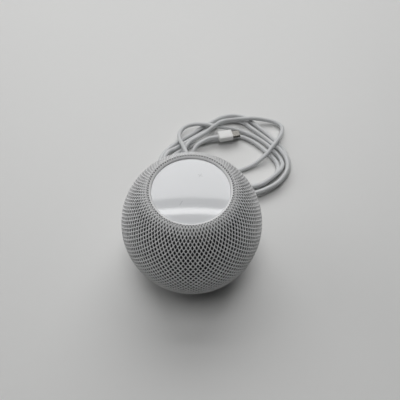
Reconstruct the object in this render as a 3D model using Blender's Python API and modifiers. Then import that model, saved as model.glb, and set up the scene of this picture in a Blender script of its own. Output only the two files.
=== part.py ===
"""Small round tabletop speaker with a knitted cover, a touch-sensitive top and a fixed USB-C lead.

Metres, +Z up. The origin is the centre of the foot's underside and the lead leaves at the rear, +Y.
The body is an ellipsoid of revolution, cut off at the foot and at the lip around the touch disc.
Everything inside takes its size and place from that ellipsoid, from its own named size and from CLEARANCE.
"""

import math

import bmesh
import bpy
import numpy as np
from mathutils import Vector

MM = 0.001

# Overall form
BODY_RADIUS = 48.95 * MM
BODY_HALF_HEIGHT = 50.8 * MM
SLEEVE_BOTTOM_Z = 1.4 * MM
BASE_OPENING_RADIUS = 29.2 * MM
LIP_START_RADIUS = 27.8 * MM
LIP_ROUND = 1.6 * MM

# Clearances
CLEARANCE = 0.3 * MM
RUNNING_GAP = 0.35 * MM

# Cover and base
SLEEVE_THICKNESS = 1.2 * MM
LIP_DEPTH = 3.06 * MM
TOP_RING_HEIGHT = 1.9 * MM
DRAWCORD_RADIUS = 0.6 * MM
FOOT_HEIGHT = 1.8 * MM
FOOT_WIDTH = 9.0 * MM
FOOT_MARGIN = 2.0 * MM
FOOT_CHAMFER = 0.4 * MM
BASE_COVER_THICKNESS = 3.1 * MM
BASE_FLANGE_THICKNESS = 1.4 * MM
BASE_GASKET_THICKNESS = 0.8 * MM
BASE_GASKET_WIDTH = 4.5 * MM
BASE_SCREW_COUNT = 4
BASE_SCREW_CIRCLE = 19.5 * MM
SCREW_SHANK_RADIUS = 1.1 * MM
SCREW_HEAD_RADIUS = 2.1 * MM
SCREW_HEAD_HEIGHT = 1.3 * MM
SCREW_BITE = 1.1 * MM
SCREW_RECESS = 0.4 * MM
SCREW_BORE_MARGIN = 1.0 * MM

# Sound outlet and housings
WAVEGUIDE_FLANGE = 1.6 * MM
WAVEGUIDE_RISE = 5.4 * MM
WAVEGUIDE_POST_COUNT = 4
WAVEGUIDE_POST_RADIUS = 1.7 * MM
WAVEGUIDE_POST_INSET = 1.0 * MM
HORN_OVERHANG = 2.5 * MM
HORN_STEPS = 8
OUTLET_HEIGHT = 11.8 * MM
HOUSING_WALL = 2.2 * MM
HOUSING_PLATE = 2.0 * MM
SEAL_THICKNESS = 0.8 * MM
SEAL_WIDTH = 4.0 * MM
ELECTRONICS_BAY = 12.2 * MM
SEAT_SINK = 0.6 * HOUSING_WALL
BOSS_FLOOR = 0.6 * MM

# Driver, which faces down
DRIVER_OPENING_RADIUS = 20.4 * MM
BASKET_FLANGE_WIDTH = 4.6 * MM
BASKET_FLANGE_THICKNESS = 1.6 * MM
BASKET_HEIGHT = 14.0 * MM
BASKET_WALL = 1.3 * MM
BASKET_WINDOW_COUNT = 4
BASKET_WINDOW = (8.0 * MM, 13.0 * MM, 6.4 * MM)
BASKET_WINDOW_LIFT = 0.4 * MM
BASKET_LIP = 0.8 * MM
BASKET_SHOULDER = 1.0 * MM
CONE_EDGE_RADIUS = 16.4 * MM
CONE_DEPTH = 10.2 * MM
CONE_THICKNESS = 0.6 * MM
CONE_EDGE_LIFT = 0.4 * MM
CONE_BELLY = 0.9 * MM
CONE_INNER_BELLY = 0.1 * MM
CONE_BELLY_DROP = 0.3 * MM
DUST_CAP_INSET = 0.2 * MM
DUST_CAP_THICKNESS = 0.5 * MM
DUST_CAP_DOME = 2.2 * MM
SUSPENSION_THICKNESS = 0.5 * MM
SURROUND_DROP = 1.1 * MM
SURROUND_ROLL = 1.5 * MM
SPIDER_DROP = 1.6 * MM
SPIDER_WAVES = 3
SPIDER_WAVE_HEIGHT = 0.6 * MM
SPIDER_SEAT = 1.4 * MM
SPIDER_EDGE_GAP = 0.4 * MM
FORMER_RADIUS = 7.6 * MM
FORMER_WALL = 0.3 * MM
FORMER_LENGTH = 10.6 * MM
WINDING_THICKNESS = 0.4 * MM
WINDING_LENGTH = 5.0 * MM
TOP_PLATE_THICKNESS = 2.5 * MM
MAGNET_RADIUS = 17.5 * MM
MAGNET_THICKNESS = 6.0 * MM
YOKE_PLATE = 2.5 * MM
YOKE_INSET = 0.4 * MM
YOKE_CHAMFER = 1.0 * MM
POLE_PIECE_INSET = 0.5 * MM
MAGNET_AIR_GAP = 1.6 * MM

# Passive radiators, one each side
RADIATOR_SEAT_RADIUS = 17.5 * MM
RADIATOR_SEAT_WALL = 2.5 * MM
RADIATOR_LEDGE_WIDTH = 2.4 * MM
RADIATOR_LEDGE_THICKNESS = 1.6 * MM
RADIATOR_FRAME_WIDTH = 1.9 * MM
RADIATOR_FRAME_THICKNESS = 2.6 * MM
RADIATOR_SEAT_FLATNESS = 1.04
RADIATOR_PLATE_RADIUS = RADIATOR_SEAT_RADIUS - 5.5 * MM
RADIATOR_PLATE_THICKNESS = 1.0 * MM
RADIATOR_WEIGHT_RADIUS = RADIATOR_PLATE_RADIUS - 5.0 * MM
RADIATOR_WEIGHT_THICKNESS = 2.2 * MM
RADIATOR_ROLL = 1.3 * MM
RADIATOR_DROP = 1.4 * MM
RADIATOR_SET_BACK = 0.4 * MM
RADIATOR_CHAMFER = 0.4 * MM

# Electronics
BOARD_STANDOFF = 3.8 * MM
BOARD_THICKNESS = 1.2 * MM
BOARD_LEAD_GAP = 1.6 * MM
BOARD_SCREW_COUNT = 3
BOARD_SCREW_MARGIN = 4.2 * MM
BOSS_RADIUS = 2.6 * MM
BOARD_SCREW_SHANK = 0.9 * MM
BOARD_SCREW_HEAD = 1.7 * MM
BOARD_SCREW_RECESS = 0.7 * MM
BOARD_SCREW_SHORTFALL = 1.0 * MM
SHIELD_BEVEL = 0.3 * MM
INDUCTOR_BEVEL = 0.5 * MM
PROCESSOR_SIZE = (15.0 * MM, 15.0 * MM, 2.0 * MM)
PROCESSOR_PLACE = (-4.0 * MM, -8.0 * MM)
WIRELESS_SIZE = (11.0 * MM, 9.0 * MM, 1.8 * MM)
WIRELESS_PLACE = (13.5 * MM, 3.0 * MM)
INDUCTOR_SIZE = (6.0 * MM, 6.0 * MM, 2.8 * MM)
INDUCTOR_PLACE = (-13.0 * MM, 9.0 * MM)
SOCKET_SIZE = (8.0 * MM, 5.0 * MM, 3.6 * MM)
SOCKET_MARGIN = 4.6 * MM
SOCKET_MOUTH_DEPTH = 2.0 * MM
INNER_PLUG_SIZE = (6.6 * MM, 3.4 * MM, 2.3 * MM)
INNER_PLUG_BEVEL = 0.2 * MM
INNER_PLUG_DEPTH = 1.5 * MM
INNER_LEAD_RADIUS = 1.1 * MM
INNER_LEAD_BEND = 2.4 * MM
SPREADER_THICKNESS = 1.0 * MM
SPREADER_MARGIN = 12.0 * MM
ANTENNA_HEIGHT = 4.0 * MM
ANTENNA_THICKNESS = 0.5 * MM
ANTENNA_SWEEP = math.radians(44)
ANTENNA_INSET = 0.5 * MM
ANTENNA_STEPS = 8

# Top stack
DISC_GAP = 0.37 * MM
DISC_EDGE_DROP = 1.76 * MM
DISC_DOME = 1.2 * MM
DISC_THICKNESS = 1.5 * MM
DISC_EDGE_CHAMFER = 0.25 * MM
SENSOR_THICKNESS = 0.4 * MM
DIFFUSER_THICKNESS = 0.9 * MM
LED_SIZE = (3.0 * MM, 3.0 * MM, 0.6 * MM)
LED_COUNT = 3
LED_CIRCLE = 8.0 * MM
LED_BOARD_THICKNESS = 0.9 * MM
LED_BOARD_RADIUS = 16.0 * MM
MIC_SIZE = (4.0 * MM, 3.0 * MM, 1.1 * MM)
MIC_COUNT = 3
MIC_CIRCLE = 20.0 * MM
TOP_RECESS_RADIUS = 23.8 * MM

# Lead and plug
CORD_RADIUS = 1.95 * MM
CORD_EXIT_Z = 15.0 * MM
CORD_CORNERS = 84
CORD_FINE_STEPS = 16
CORD_SMOOTHING = 9
CORD_TURNING = (8.0, 140.0)
GROMMET_NECK_RADIUS = 3.4 * MM
GROMMET_TIP_RADIUS = 2.5 * MM
GROMMET_FLANGE_RADIUS = 4.2 * MM
GROMMET_FLANGE_THICKNESS = 1.6 * MM
GROMMET_SHOULDER = 3.0 * MM
GROMMET_CHAMFER = 0.3 * MM
GROMMET_LENGTH = 10.8 * MM
PLUG_HEADING = math.radians(12)
PLUG_BODY = (13.3 * MM, 10.4 * MM, 5.6 * MM)
PLUG_ROUND = 1.4 * MM
PLUG_SHELL = (6.65 * MM, 8.3 * MM, 2.5 * MM)
PLUG_SHELL_WALL = 0.4 * MM
PLUG_SHELL_ROUND = 1.15 * MM
PLUG_HOLLOW_ROUND = 0.71 * MM
PLUG_INSERT_DEPTH = 1.6 * MM

# The lead's route in millimetres, from the rear exit through the loose loops behind the body to the plug
CORD_ROUTE = (
    # up from the exit and over the left of the loops, then right along their far side
    (0, 46, 15), (0, 54, 14.5), (-3, 76, 11.3), (-5.5, 88, 10.5), (-9.5, 99.5, 10.2), (-13, 110, 7.6),
    (-13.5, 118.5, 6.4), (-9, 126, 6.4), (0, 130, 6.4), (10, 130, 6.5), (22, 127.5, 6.5), (35, 126, 5),
    (47, 123.5, 2.8), (58.2, 117.6, 2.1), (68, 108.5, 2.1),
    (75.5, 98, 2.1), (80.2, 87.5, 2.3), (78.6, 78.5, 5.4),
    # first return behind the body
    (73.4, 71, 6.3), (59.7, 60, 6.4), (50.5, 56.7, 6.4), (41, 55.5, 6.5), (31, 52.5, 6.6), (21, 47.5, 6.4),
    (10, 44.6, 4.2), (-1, 46.5, 2.4), (-12, 52.5, 2.1), (-21.5, 61.5, 2.1), (-28, 72, 2.1), (-31, 83, 2.1),
    # second loop, the widest
    (-29.5, 93, 2.1), (-24.5, 102, 2.1), (-16.5, 110, 2.1),
    (-6, 118.5, 2.1), (5, 127.5, 2.1), (15, 135.5, 2.1),
    (26, 143, 2.1), (37.5, 146.2, 2.1), (48.5, 144, 2.1), (58, 135, 2.1), (67, 125, 2.1), (76, 113.5, 2.1),
    (83.5, 101, 2.1), (86.3, 88, 2.1), (84.5, 77, 2.1), (79, 68, 2.1), (62.3, 54.6, 2.1), (42, 46.2, 2.1),
    (29, 46.3, 2.1), (16, 48.7, 2.1), (4, 53, 2.1), (-7, 59.5, 2.1), (-16, 68, 2.1), (-22.5, 77.5, 3.4),
    # third loop, just inside the second
    (-26.5, 87, 5.5), (-24, 96, 5), (-16.5, 103.5, 2.6),
    (1.5, 117.8, 2.1), (20, 131.5, 2.1), (29.5, 137, 2.1),
    (39, 139.3, 2.1), (48, 136.5, 2.1), (56, 128.5, 2.1),
    (64.5, 119.8, 2.1), (73.5, 109, 2.6), (80, 98.5, 4.9),
    (83.8, 87.5, 6.1), (83, 76, 6.4), (78, 66.7, 6.4), (71, 59.4, 6.4), (53, 50.4, 6.3), (43, 51.2, 4.8),
    (31, 52.2, 2.2), (18, 54.4, 2.1), (6, 58.7, 2.1), (-5, 65.2, 2.1), (-14, 73.5, 2.1), (-20, 82.5, 2.1),
    # fourth loop, innermost, which passes under the plug
    (-21.2, 91, 2.1), (-5.5, 105, 2.1), (6, 110.5, 2.1), (20, 114, 2.1), (33, 117, 2.1), (44, 118, 2.1),
    (53.8, 113, 2.1), (62.8, 104.5, 2.1), (75, 87, 2.1), (75.8, 79, 2.1), (72, 72, 2.1), (59, 61.4, 2.1),
    (50, 58, 2.1), (39, 58.2, 2.1), (26, 60.5, 2.1), (13, 64.8, 2.1), (2, 70.7, 2.1), (-6.5, 79, 2.1),
    # last run over everything, round its tight end and back behind the body
    (-10.5, 89, 3.4), (-8.8, 98, 5.8), (-4.5, 106.5, 6.9), (3, 113, 6.6), (11, 118.5, 7.2), (19, 124, 10.2),
    (26, 129, 11), (44, 136.3, 7), (57, 138, 6.4), (69, 138, 4.4), (78.5, 136, 3.2), (84.5, 130, 3.2),
    (83.5, 121, 4.6), (78.5, 110.5, 7.4), (72.5, 101, 8.4), (66, 93, 6.2), (57, 85.5, 3.6), (47, 80, 2.3),
    (27, 72.5, 2.1), (16, 73, 2.1), (7, 78, 2.1), (1, 86, 2.1), (-1.5, 94, 3.4), (2.2, 102.5, 6.2),
    # the end, with the plug lying on the fourth loop
    (8.5, 108.2, 6.5), (15, 111.5, 7), (22.5, 113.2, 7.2),
)

# Heights and radii that follow from the sizes above
BODY_CENTRE_Z = SLEEVE_BOTTOM_Z + BODY_HALF_HEIGHT * math.sqrt(1 - (BASE_OPENING_RADIUS / BODY_RADIUS) ** 2)
LIP_START_Z = BODY_CENTRE_Z + BODY_HALF_HEIGHT * math.sqrt(1 - (LIP_START_RADIUS / BODY_RADIUS) ** 2)
LIP_SLOPE = math.atan2(
    (LIP_START_Z - BODY_CENTRE_Z) / BODY_HALF_HEIGHT ** 2,
    LIP_START_RADIUS / BODY_RADIUS ** 2,
)
LIP_CENTRE_RADIUS = LIP_START_RADIUS - LIP_ROUND * math.cos(LIP_SLOPE)
LIP_CENTRE_Z = LIP_START_Z - LIP_ROUND * math.sin(LIP_SLOPE)
LIP_INNER_RADIUS = LIP_CENTRE_RADIUS - LIP_ROUND
LIP_CREST_Z = LIP_CENTRE_Z + LIP_ROUND
LIP_UNDERSIDE_Z = LIP_CREST_Z - LIP_DEPTH

DISC_RADIUS = LIP_INNER_RADIUS - DISC_GAP
DISC_EDGE_Z = LIP_CREST_Z - DISC_EDGE_DROP
DISC_UNDERSIDE_Z = DISC_EDGE_Z - DISC_THICKNESS
SENSOR_Z = DISC_UNDERSIDE_Z - CLEARANCE - SENSOR_THICKNESS
DIFFUSER_Z = SENSOR_Z - CLEARANCE - DIFFUSER_THICKNESS
LED_Z = DIFFUSER_Z - CLEARANCE - LED_SIZE[2]
LED_BOARD_Z = LED_Z - CLEARANCE - LED_BOARD_THICKNESS
TOP_PLATE_Z = LED_BOARD_Z - CLEARANCE
BAY_ROOF_Z = TOP_PLATE_Z - HOUSING_PLATE
TOP_RING_Z = LIP_UNDERSIDE_Z - CLEARANCE - TOP_RING_HEIGHT
TOP_HOUSING_CREST_Z = TOP_RING_Z - CLEARANCE
TOP_HOUSING_BOTTOM_Z = BAY_ROOF_Z - ELECTRONICS_BAY
SEAL_Z = TOP_HOUSING_BOTTOM_Z - CLEARANCE - SEAL_THICKNESS
CHAMBER_TOP_Z = SEAL_Z - CLEARANCE

COVER_Z = FOOT_HEIGHT + CLEARANCE
COVER_TOP_Z = COVER_Z + BASE_COVER_THICKNESS
BASE_GASKET_Z = COVER_TOP_Z + CLEARANCE
WAVEGUIDE_Z = BASE_GASKET_Z + BASE_GASKET_THICKNESS + CLEARANCE
WAVEGUIDE_FLANGE_Z = WAVEGUIDE_Z + WAVEGUIDE_FLANGE
CHAMBER_BOTTOM_Z = WAVEGUIDE_FLANGE_Z + OUTLET_HEIGHT
BASKET_Z = CHAMBER_BOTTOM_Z + HOUSING_PLATE + CLEARANCE
BASKET_TOP_Z = BASKET_Z + BASKET_HEIGHT
TOP_POLE_Z = BASKET_TOP_Z + CLEARANCE
MAGNET_Z = TOP_POLE_Z + TOP_PLATE_THICKNESS + CLEARANCE
YOKE_Z = MAGNET_Z + MAGNET_THICKNESS + CLEARANCE
GAP_INNER_RADIUS = FORMER_RADIUS - FORMER_WALL - RUNNING_GAP
WINDING_INNER_RADIUS = FORMER_RADIUS + 0.5 * CLEARANCE
GAP_OUTER_RADIUS = WINDING_INNER_RADIUS + WINDING_THICKNESS + RUNNING_GAP
CONE_EDGE_Z = CHAMBER_BOTTOM_Z + CONE_EDGE_LIFT
CONE_NECK_RADIUS = FORMER_RADIUS + CLEARANCE
CONE_NECK_Z = CONE_EDGE_Z + CONE_DEPTH
FORMER_Z = CONE_NECK_Z + CLEARANCE

RADIATOR_AXIS_Z = 0.5 * (CHAMBER_BOTTOM_Z + HOUSING_PLATE + CHAMBER_TOP_Z - HOUSING_PLATE)
BOARD_Z = CHAMBER_TOP_Z + BOARD_STANDOFF + CLEARANCE
BOARD_TOP_Z = BOARD_Z + BOARD_THICKNESS


def body_radius(height, inset=0.0):
    """Radius of the body's ellipsoid, shrunk by inset, at a height."""
    share = (height - BODY_CENTRE_Z) / (BODY_HALF_HEIGHT - inset)
    return (BODY_RADIUS - inset) * math.sqrt(1 - share * share)


def body_curve(inset, top, bottom, count):
    """Points of the shrunk ellipsoid from a top height down to a bottom height."""
    half = BODY_HALF_HEIGHT - inset
    start = math.asin((top - BODY_CENTRE_Z) / half)
    end = math.asin((bottom - BODY_CENTRE_Z) / half)
    angles = [start + (end - start) * i / count for i in range(count + 1)]
    return [((BODY_RADIUS - inset) * math.cos(a), BODY_CENTRE_Z + half * math.sin(a)) for a in angles]


def arc(centre, radius, start, end, count):
    """Points of an arc, angles in radians from the outward direction."""
    steps = [start + (end - start) * i / count for i in range(count + 1)]
    return [(centre[0] + radius * math.cos(a), centre[1] + radius * math.sin(a)) for a in steps]


def ring_of(count, radius, phase=0.0):
    """Evenly spaced places on a circle, as (x, y, angle)."""
    turns = [phase + 2 * math.pi * i / count for i in range(count)]
    return [(radius * math.cos(a), radius * math.sin(a), a) for a in turns]


def new_collection(name):
    collection = bpy.data.collections.new(name)
    bpy.context.scene.collection.children.link(collection)
    return collection


def finish_of(name, colour, roughness, metallic=0.0):
    """A plain Principled material."""
    material = bpy.data.materials.new(name)
    material.use_nodes = True
    shader = material.node_tree.nodes["Principled BSDF"]
    shader.inputs["Base Color"].default_value = (*colour, 1.0)
    shader.inputs["Roughness"].default_value = roughness
    shader.inputs["Metallic"].default_value = metallic
    material.diffuse_color = (*colour, 1.0)
    return material


class Workshop:
    """Makes objects in the parts collection, or in the cutters collection when they have no finish."""

    def __init__(self):
        self.parts = new_collection("smart_speaker")
        self.tools = new_collection("cutters")

    def place(self, name, data, finish, location, rotation):
        item = bpy.data.objects.new(name, data)
        item.location = location
        item.rotation_euler = rotation
        if finish is None:
            self.tools.objects.link(item)
            item.hide_render = True
            item.display_type = "WIRE"
            return item
        self.parts.objects.link(item)
        data.materials.append(finish_of(f"{name}_finish", *finish))
        return item

    def turned(self, name, outline, finish, steps, closed=True, location=(0, 0, 0), rotation=(0, 0, 0)):
        """A solid of revolution; the outline runs down its outer side and is a ring when closed."""
        mesh = bpy.data.meshes.new(name)
        points = [(r, 0.0, z) for r, z in outline]
        edges = [(i, i + 1) for i in range(len(points) - 1)]
        if closed:
            edges.append((len(points) - 1, 0))
        mesh.from_pydata(points, edges, [])
        item = self.place(name, mesh, finish, location, rotation)
        screw = item.modifiers.new("turn", "SCREW")
        screw.axis = "Z"
        screw.angle = 2 * math.pi
        screw.steps = steps
        screw.render_steps = steps
        screw.use_merge_vertices = True
        screw.merge_threshold = 0.00001
        screw.use_smooth_shade = True
        return item

    def block(self, name, size, finish, location, turn=0.0, bevel=0.0, segments=2):
        """A box, centred on its location, with rounded edges when bevel is given."""
        mesh = bpy.data.meshes.new(name)
        cube = bmesh.new()
        bmesh.ops.create_cube(cube, size=1.0)
        bmesh.ops.scale(cube, vec=size, verts=cube.verts)
        cube.to_mesh(mesh)
        cube.free()
        item = self.place(name, mesh, finish, location, (0, 0, turn))
        if bevel:
            rounding = item.modifiers.new("rounding", "BEVEL")
            rounding.width = bevel
            rounding.segments = segments
            rounding.limit_method = "ANGLE"
        return item

    def rod(self, name, radius, length, finish, location, rotation=(0, 0, 0), segments=20):
        """A cylinder along its own Z, centred on its location."""
        mesh = bpy.data.meshes.new(name)
        shape = bmesh.new()
        bmesh.ops.create_cone(
            shape, cap_ends=True, segments=segments, radius1=radius, radius2=radius, depth=length
        )
        shape.to_mesh(mesh)
        shape.free()
        return self.place(name, mesh, finish, location, rotation)

    def wire(self, name, points, radius, finish, resolution=2):
        """A round tube along straight runs between the points, with closed ends."""
        curve = bpy.data.curves.new(name, "CURVE")
        curve.dimensions = "3D"
        curve.bevel_depth = radius
        curve.bevel_resolution = resolution
        curve.use_fill_caps = True
        spline = curve.splines.new("POLY")
        spline.points.add(len(points) - 1)
        for corner, point in zip(spline.points, points):
            corner.co = (*point, 1.0)
        spline.use_smooth = True
        return self.place(name, curve, finish, (0, 0, 0), (0, 0, 0))


def combine(item, tool, operation):
    """Adds a Boolean of the tool to the item."""
    step = item.modifiers.new(f"{operation.lower()}_{tool.name}", "BOOLEAN")
    step.operation = operation
    step.object = tool
    step.solver = "EXACT"


# Finishes: colour, roughness, metallic
WHITE_KNIT = ((0.76, 0.76, 0.77), 0.9)
WHITE_PLASTIC = ((0.72, 0.73, 0.74), 0.45)
GLOSS_WHITE = ((0.74, 0.75, 0.77), 0.12)
SOFT_GREY = ((0.30, 0.31, 0.32), 0.85)
DARK_PLASTIC = ((0.035, 0.035, 0.04), 0.5)
BLACK_RUBBER = ((0.02, 0.02, 0.02), 0.8)
BOARD_GREEN = ((0.02, 0.12, 0.06), 0.45)
STEEL = ((0.55, 0.55, 0.56), 0.35, 1.0)
ALUMINIUM = ((0.75, 0.76, 0.77), 0.4, 1.0)
MAGNET_GREY = ((0.14, 0.14, 0.15), 0.55)
COPPER = ((0.72, 0.38, 0.2), 0.35, 1.0)
PAPER_BLACK = ((0.05, 0.05, 0.055), 0.75)
AMBER_CLOTH = ((0.5, 0.27, 0.08), 0.9)
MILKY = ((0.85, 0.86, 0.88), 0.5)
LEAD_WHITE = ((0.70, 0.71, 0.72), 0.6)

STEPS_BODY = 36
STEPS_MIDDLE = 20
STEPS_SMALL = 12
STEPS_SCREW = 8
FACING_REAR = (-math.pi / 2, 0, 0)


def screw_outline(shank_radius, head_radius, head_height, length, recess):
    """A pan-head screw, head down, from its tip at the top of its own axis to the recess in its head."""
    return [
        (0, length),
        (shank_radius * 0.5, length),
        (shank_radius, length - shank_radius * 0.6),
        (shank_radius, head_height),
        (head_radius, head_height),
        (head_radius, head_height * 0.3),
        (head_radius * 0.8, 0),
        (recess, 0),
        (recess, head_height * 0.5),
        (0, head_height * 0.5),
    ]


def make_cover(shop):
    """The knitted sleeve with its rolled lip, the ring under the lip and the drawcord in the hem."""
    lip = arc((LIP_CENTRE_RADIUS, LIP_CENTRE_Z), LIP_ROUND, math.pi, LIP_SLOPE, 4)
    upper = body_curve(0, LIP_START_Z, BODY_CENTRE_Z, 7)[1:]
    lower = body_curve(0, BODY_CENTRE_Z, SLEEVE_BOTTOM_Z, 7)[1:]
    inside = body_curve(SLEEVE_THICKNESS, LIP_UNDERSIDE_Z, SLEEVE_BOTTOM_Z, 12)[::-1]
    outline = [(LIP_INNER_RADIUS, LIP_UNDERSIDE_Z)] + lip + upper + lower + inside
    sleeve = shop.turned("knit_sleeve", outline, WHITE_KNIT, STEPS_BODY)
    exit_hole = shop.rod(
        "sleeve_exit_cutter", GROMMET_NECK_RADIUS + CLEARANCE, 0.4 * BODY_RADIUS, None,
        (0, body_radius(CORD_EXIT_Z), CORD_EXIT_Z), FACING_REAR,
    )
    combine(sleeve, exit_hole, "DIFFERENCE")

    seat = SLEEVE_THICKNESS + CLEARANCE
    ring_top = TOP_RING_Z + TOP_RING_HEIGHT
    ring = [(LIP_INNER_RADIUS + CLEARANCE, ring_top)] + body_curve(seat, ring_top, TOP_RING_Z, 2)
    ring.append((LIP_INNER_RADIUS + CLEARANCE, TOP_RING_Z))
    shop.turned("sleeve_top_ring", ring, DARK_PLASTIC, STEPS_BODY)

    height = COVER_Z + DRAWCORD_RADIUS
    middle = body_radius(COVER_Z, seat) - DRAWCORD_RADIUS
    hem = arc((middle, height), DRAWCORD_RADIUS, math.pi / 2, math.pi / 2 - 2 * math.pi, 6)[:-1]
    shop.turned("sleeve_drawcord", hem, WHITE_KNIT, STEPS_BODY)
    return sleeve


def make_base(shop):
    """Foot, base cover, gasket, waveguide and the screws that hold them together from below."""
    seat = SLEEVE_THICKNESS + CLEARANCE
    cover_radius = body_radius(COVER_Z, seat) - 2 * DRAWCORD_RADIUS - CLEARANCE
    flange_z = COVER_TOP_Z - BASE_FLANGE_THICKNESS
    foot_outer = cover_radius - FOOT_MARGIN + CLEARANCE
    foot_inner = foot_outer - FOOT_WIDTH
    foot = [
        (foot_inner + FOOT_CHAMFER, FOOT_HEIGHT),
        (foot_outer - FOOT_CHAMFER, FOOT_HEIGHT),
        (foot_outer, FOOT_HEIGHT - FOOT_CHAMFER),
        (foot_outer, FOOT_CHAMFER),
        (foot_outer - FOOT_CHAMFER, 0),
        (foot_inner + FOOT_CHAMFER, 0),
        (foot_inner, FOOT_CHAMFER),
        (foot_inner, FOOT_HEIGHT - FOOT_CHAMFER),
    ]
    shop.turned("foot_ring", foot, SOFT_GREY, STEPS_BODY)

    cover = [
        (0, COVER_TOP_Z),
        (body_radius(COVER_TOP_Z, seat) - CLEARANCE, COVER_TOP_Z),
        (body_radius(flange_z, seat) - CLEARANCE, flange_z),
        (cover_radius, flange_z),
        (cover_radius, COVER_Z),
        (0, COVER_Z),
    ]
    base_cover = shop.turned("base_cover", cover, WHITE_PLASTIC, STEPS_BODY, closed=False)

    gasket_outer = body_radius(BASE_GASKET_Z, seat) - CLEARANCE
    gasket_top = BASE_GASKET_Z + BASE_GASKET_THICKNESS
    gasket = [
        (gasket_outer - BASE_GASKET_WIDTH, gasket_top),
        (gasket_outer, gasket_top),
        (gasket_outer, BASE_GASKET_Z),
        (gasket_outer - BASE_GASKET_WIDTH, BASE_GASKET_Z),
    ]
    shop.turned("base_gasket", gasket, DARK_PLASTIC, STEPS_BODY)

    rim = body_radius(WAVEGUIDE_Z, seat) - CLEARANCE
    tip_z = WAVEGUIDE_FLANGE_Z + WAVEGUIDE_RISE
    horn_radius = CONE_EDGE_RADIUS + HORN_OVERHANG
    horn = []
    for i in range(1, HORN_STEPS + 1):
        share = i / HORN_STEPS
        horn.append((horn_radius * share, WAVEGUIDE_FLANGE_Z + WAVEGUIDE_RISE * (1 - share) ** 2))
    outline = [(0, tip_z)] + horn + [(rim, WAVEGUIDE_FLANGE_Z), (rim, WAVEGUIDE_Z), (0, WAVEGUIDE_Z)]
    waveguide = shop.turned("waveguide_cone", outline, DARK_PLASTIC, STEPS_MIDDLE, closed=False)
    post_circle = rim - WAVEGUIDE_POST_RADIUS - WAVEGUIDE_POST_INSET
    post_top = CHAMBER_BOTTOM_Z - CLEARANCE
    post_bottom = WAVEGUIDE_Z + 0.5 * WAVEGUIDE_FLANGE
    post_length = post_top - post_bottom
    for i, (x, y, _) in enumerate(ring_of(WAVEGUIDE_POST_COUNT, post_circle, math.pi / 4)):
        place = (x, y, post_bottom + 0.5 * post_length)
        name = f"waveguide_post_{i + 1}"
        post = shop.rod(name, WAVEGUIDE_POST_RADIUS, post_length, None, place, segments=STEPS_SMALL)
        combine(waveguide, post, "UNION")

    head_z = COVER_Z + SCREW_RECESS
    length = WAVEGUIDE_Z + SCREW_BITE - head_z
    recess = 0.45 * SCREW_HEAD_RADIUS
    screw = screw_outline(SCREW_SHANK_RADIUS, SCREW_HEAD_RADIUS, SCREW_HEAD_HEIGHT, length, recess)
    step_z = SCREW_HEAD_HEIGHT + CLEARANCE
    bore = [
        (0, length + CLEARANCE),
        (SCREW_SHANK_RADIUS + CLEARANCE, length + CLEARANCE),
        (SCREW_SHANK_RADIUS + CLEARANCE, step_z),
        (SCREW_HEAD_RADIUS + CLEARANCE, step_z),
        (SCREW_HEAD_RADIUS + CLEARANCE, -SCREW_BORE_MARGIN),
        (0, -SCREW_BORE_MARGIN),
    ]
    for i, (x, y, _) in enumerate(ring_of(BASE_SCREW_COUNT, BASE_SCREW_CIRCLE, math.pi / 4)):
        place = (x, y, head_z)
        shop.turned(f"base_screw_{i + 1}", screw, STEEL, STEPS_SCREW, closed=False, location=place)
        cutter = shop.turned(f"base_bore_{i + 1}", bore, None, STEPS_SCREW, closed=False, location=place)
        combine(base_cover, cutter, "DIFFERENCE")
        combine(waveguide, cutter, "DIFFERENCE")


def radiator_seat_x(radius):
    """How far from the middle the housing's inner wall is, at a radius around the radiators' axis."""
    inset = SLEEVE_THICKNESS + CLEARANCE + HOUSING_WALL
    half_height = min(BODY_HALF_HEIGHT, RADIATOR_SEAT_FLATNESS * BODY_RADIUS)
    share = radius / (half_height - inset)
    return (BODY_RADIUS - inset) * math.sqrt(1 - share * share)


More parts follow.
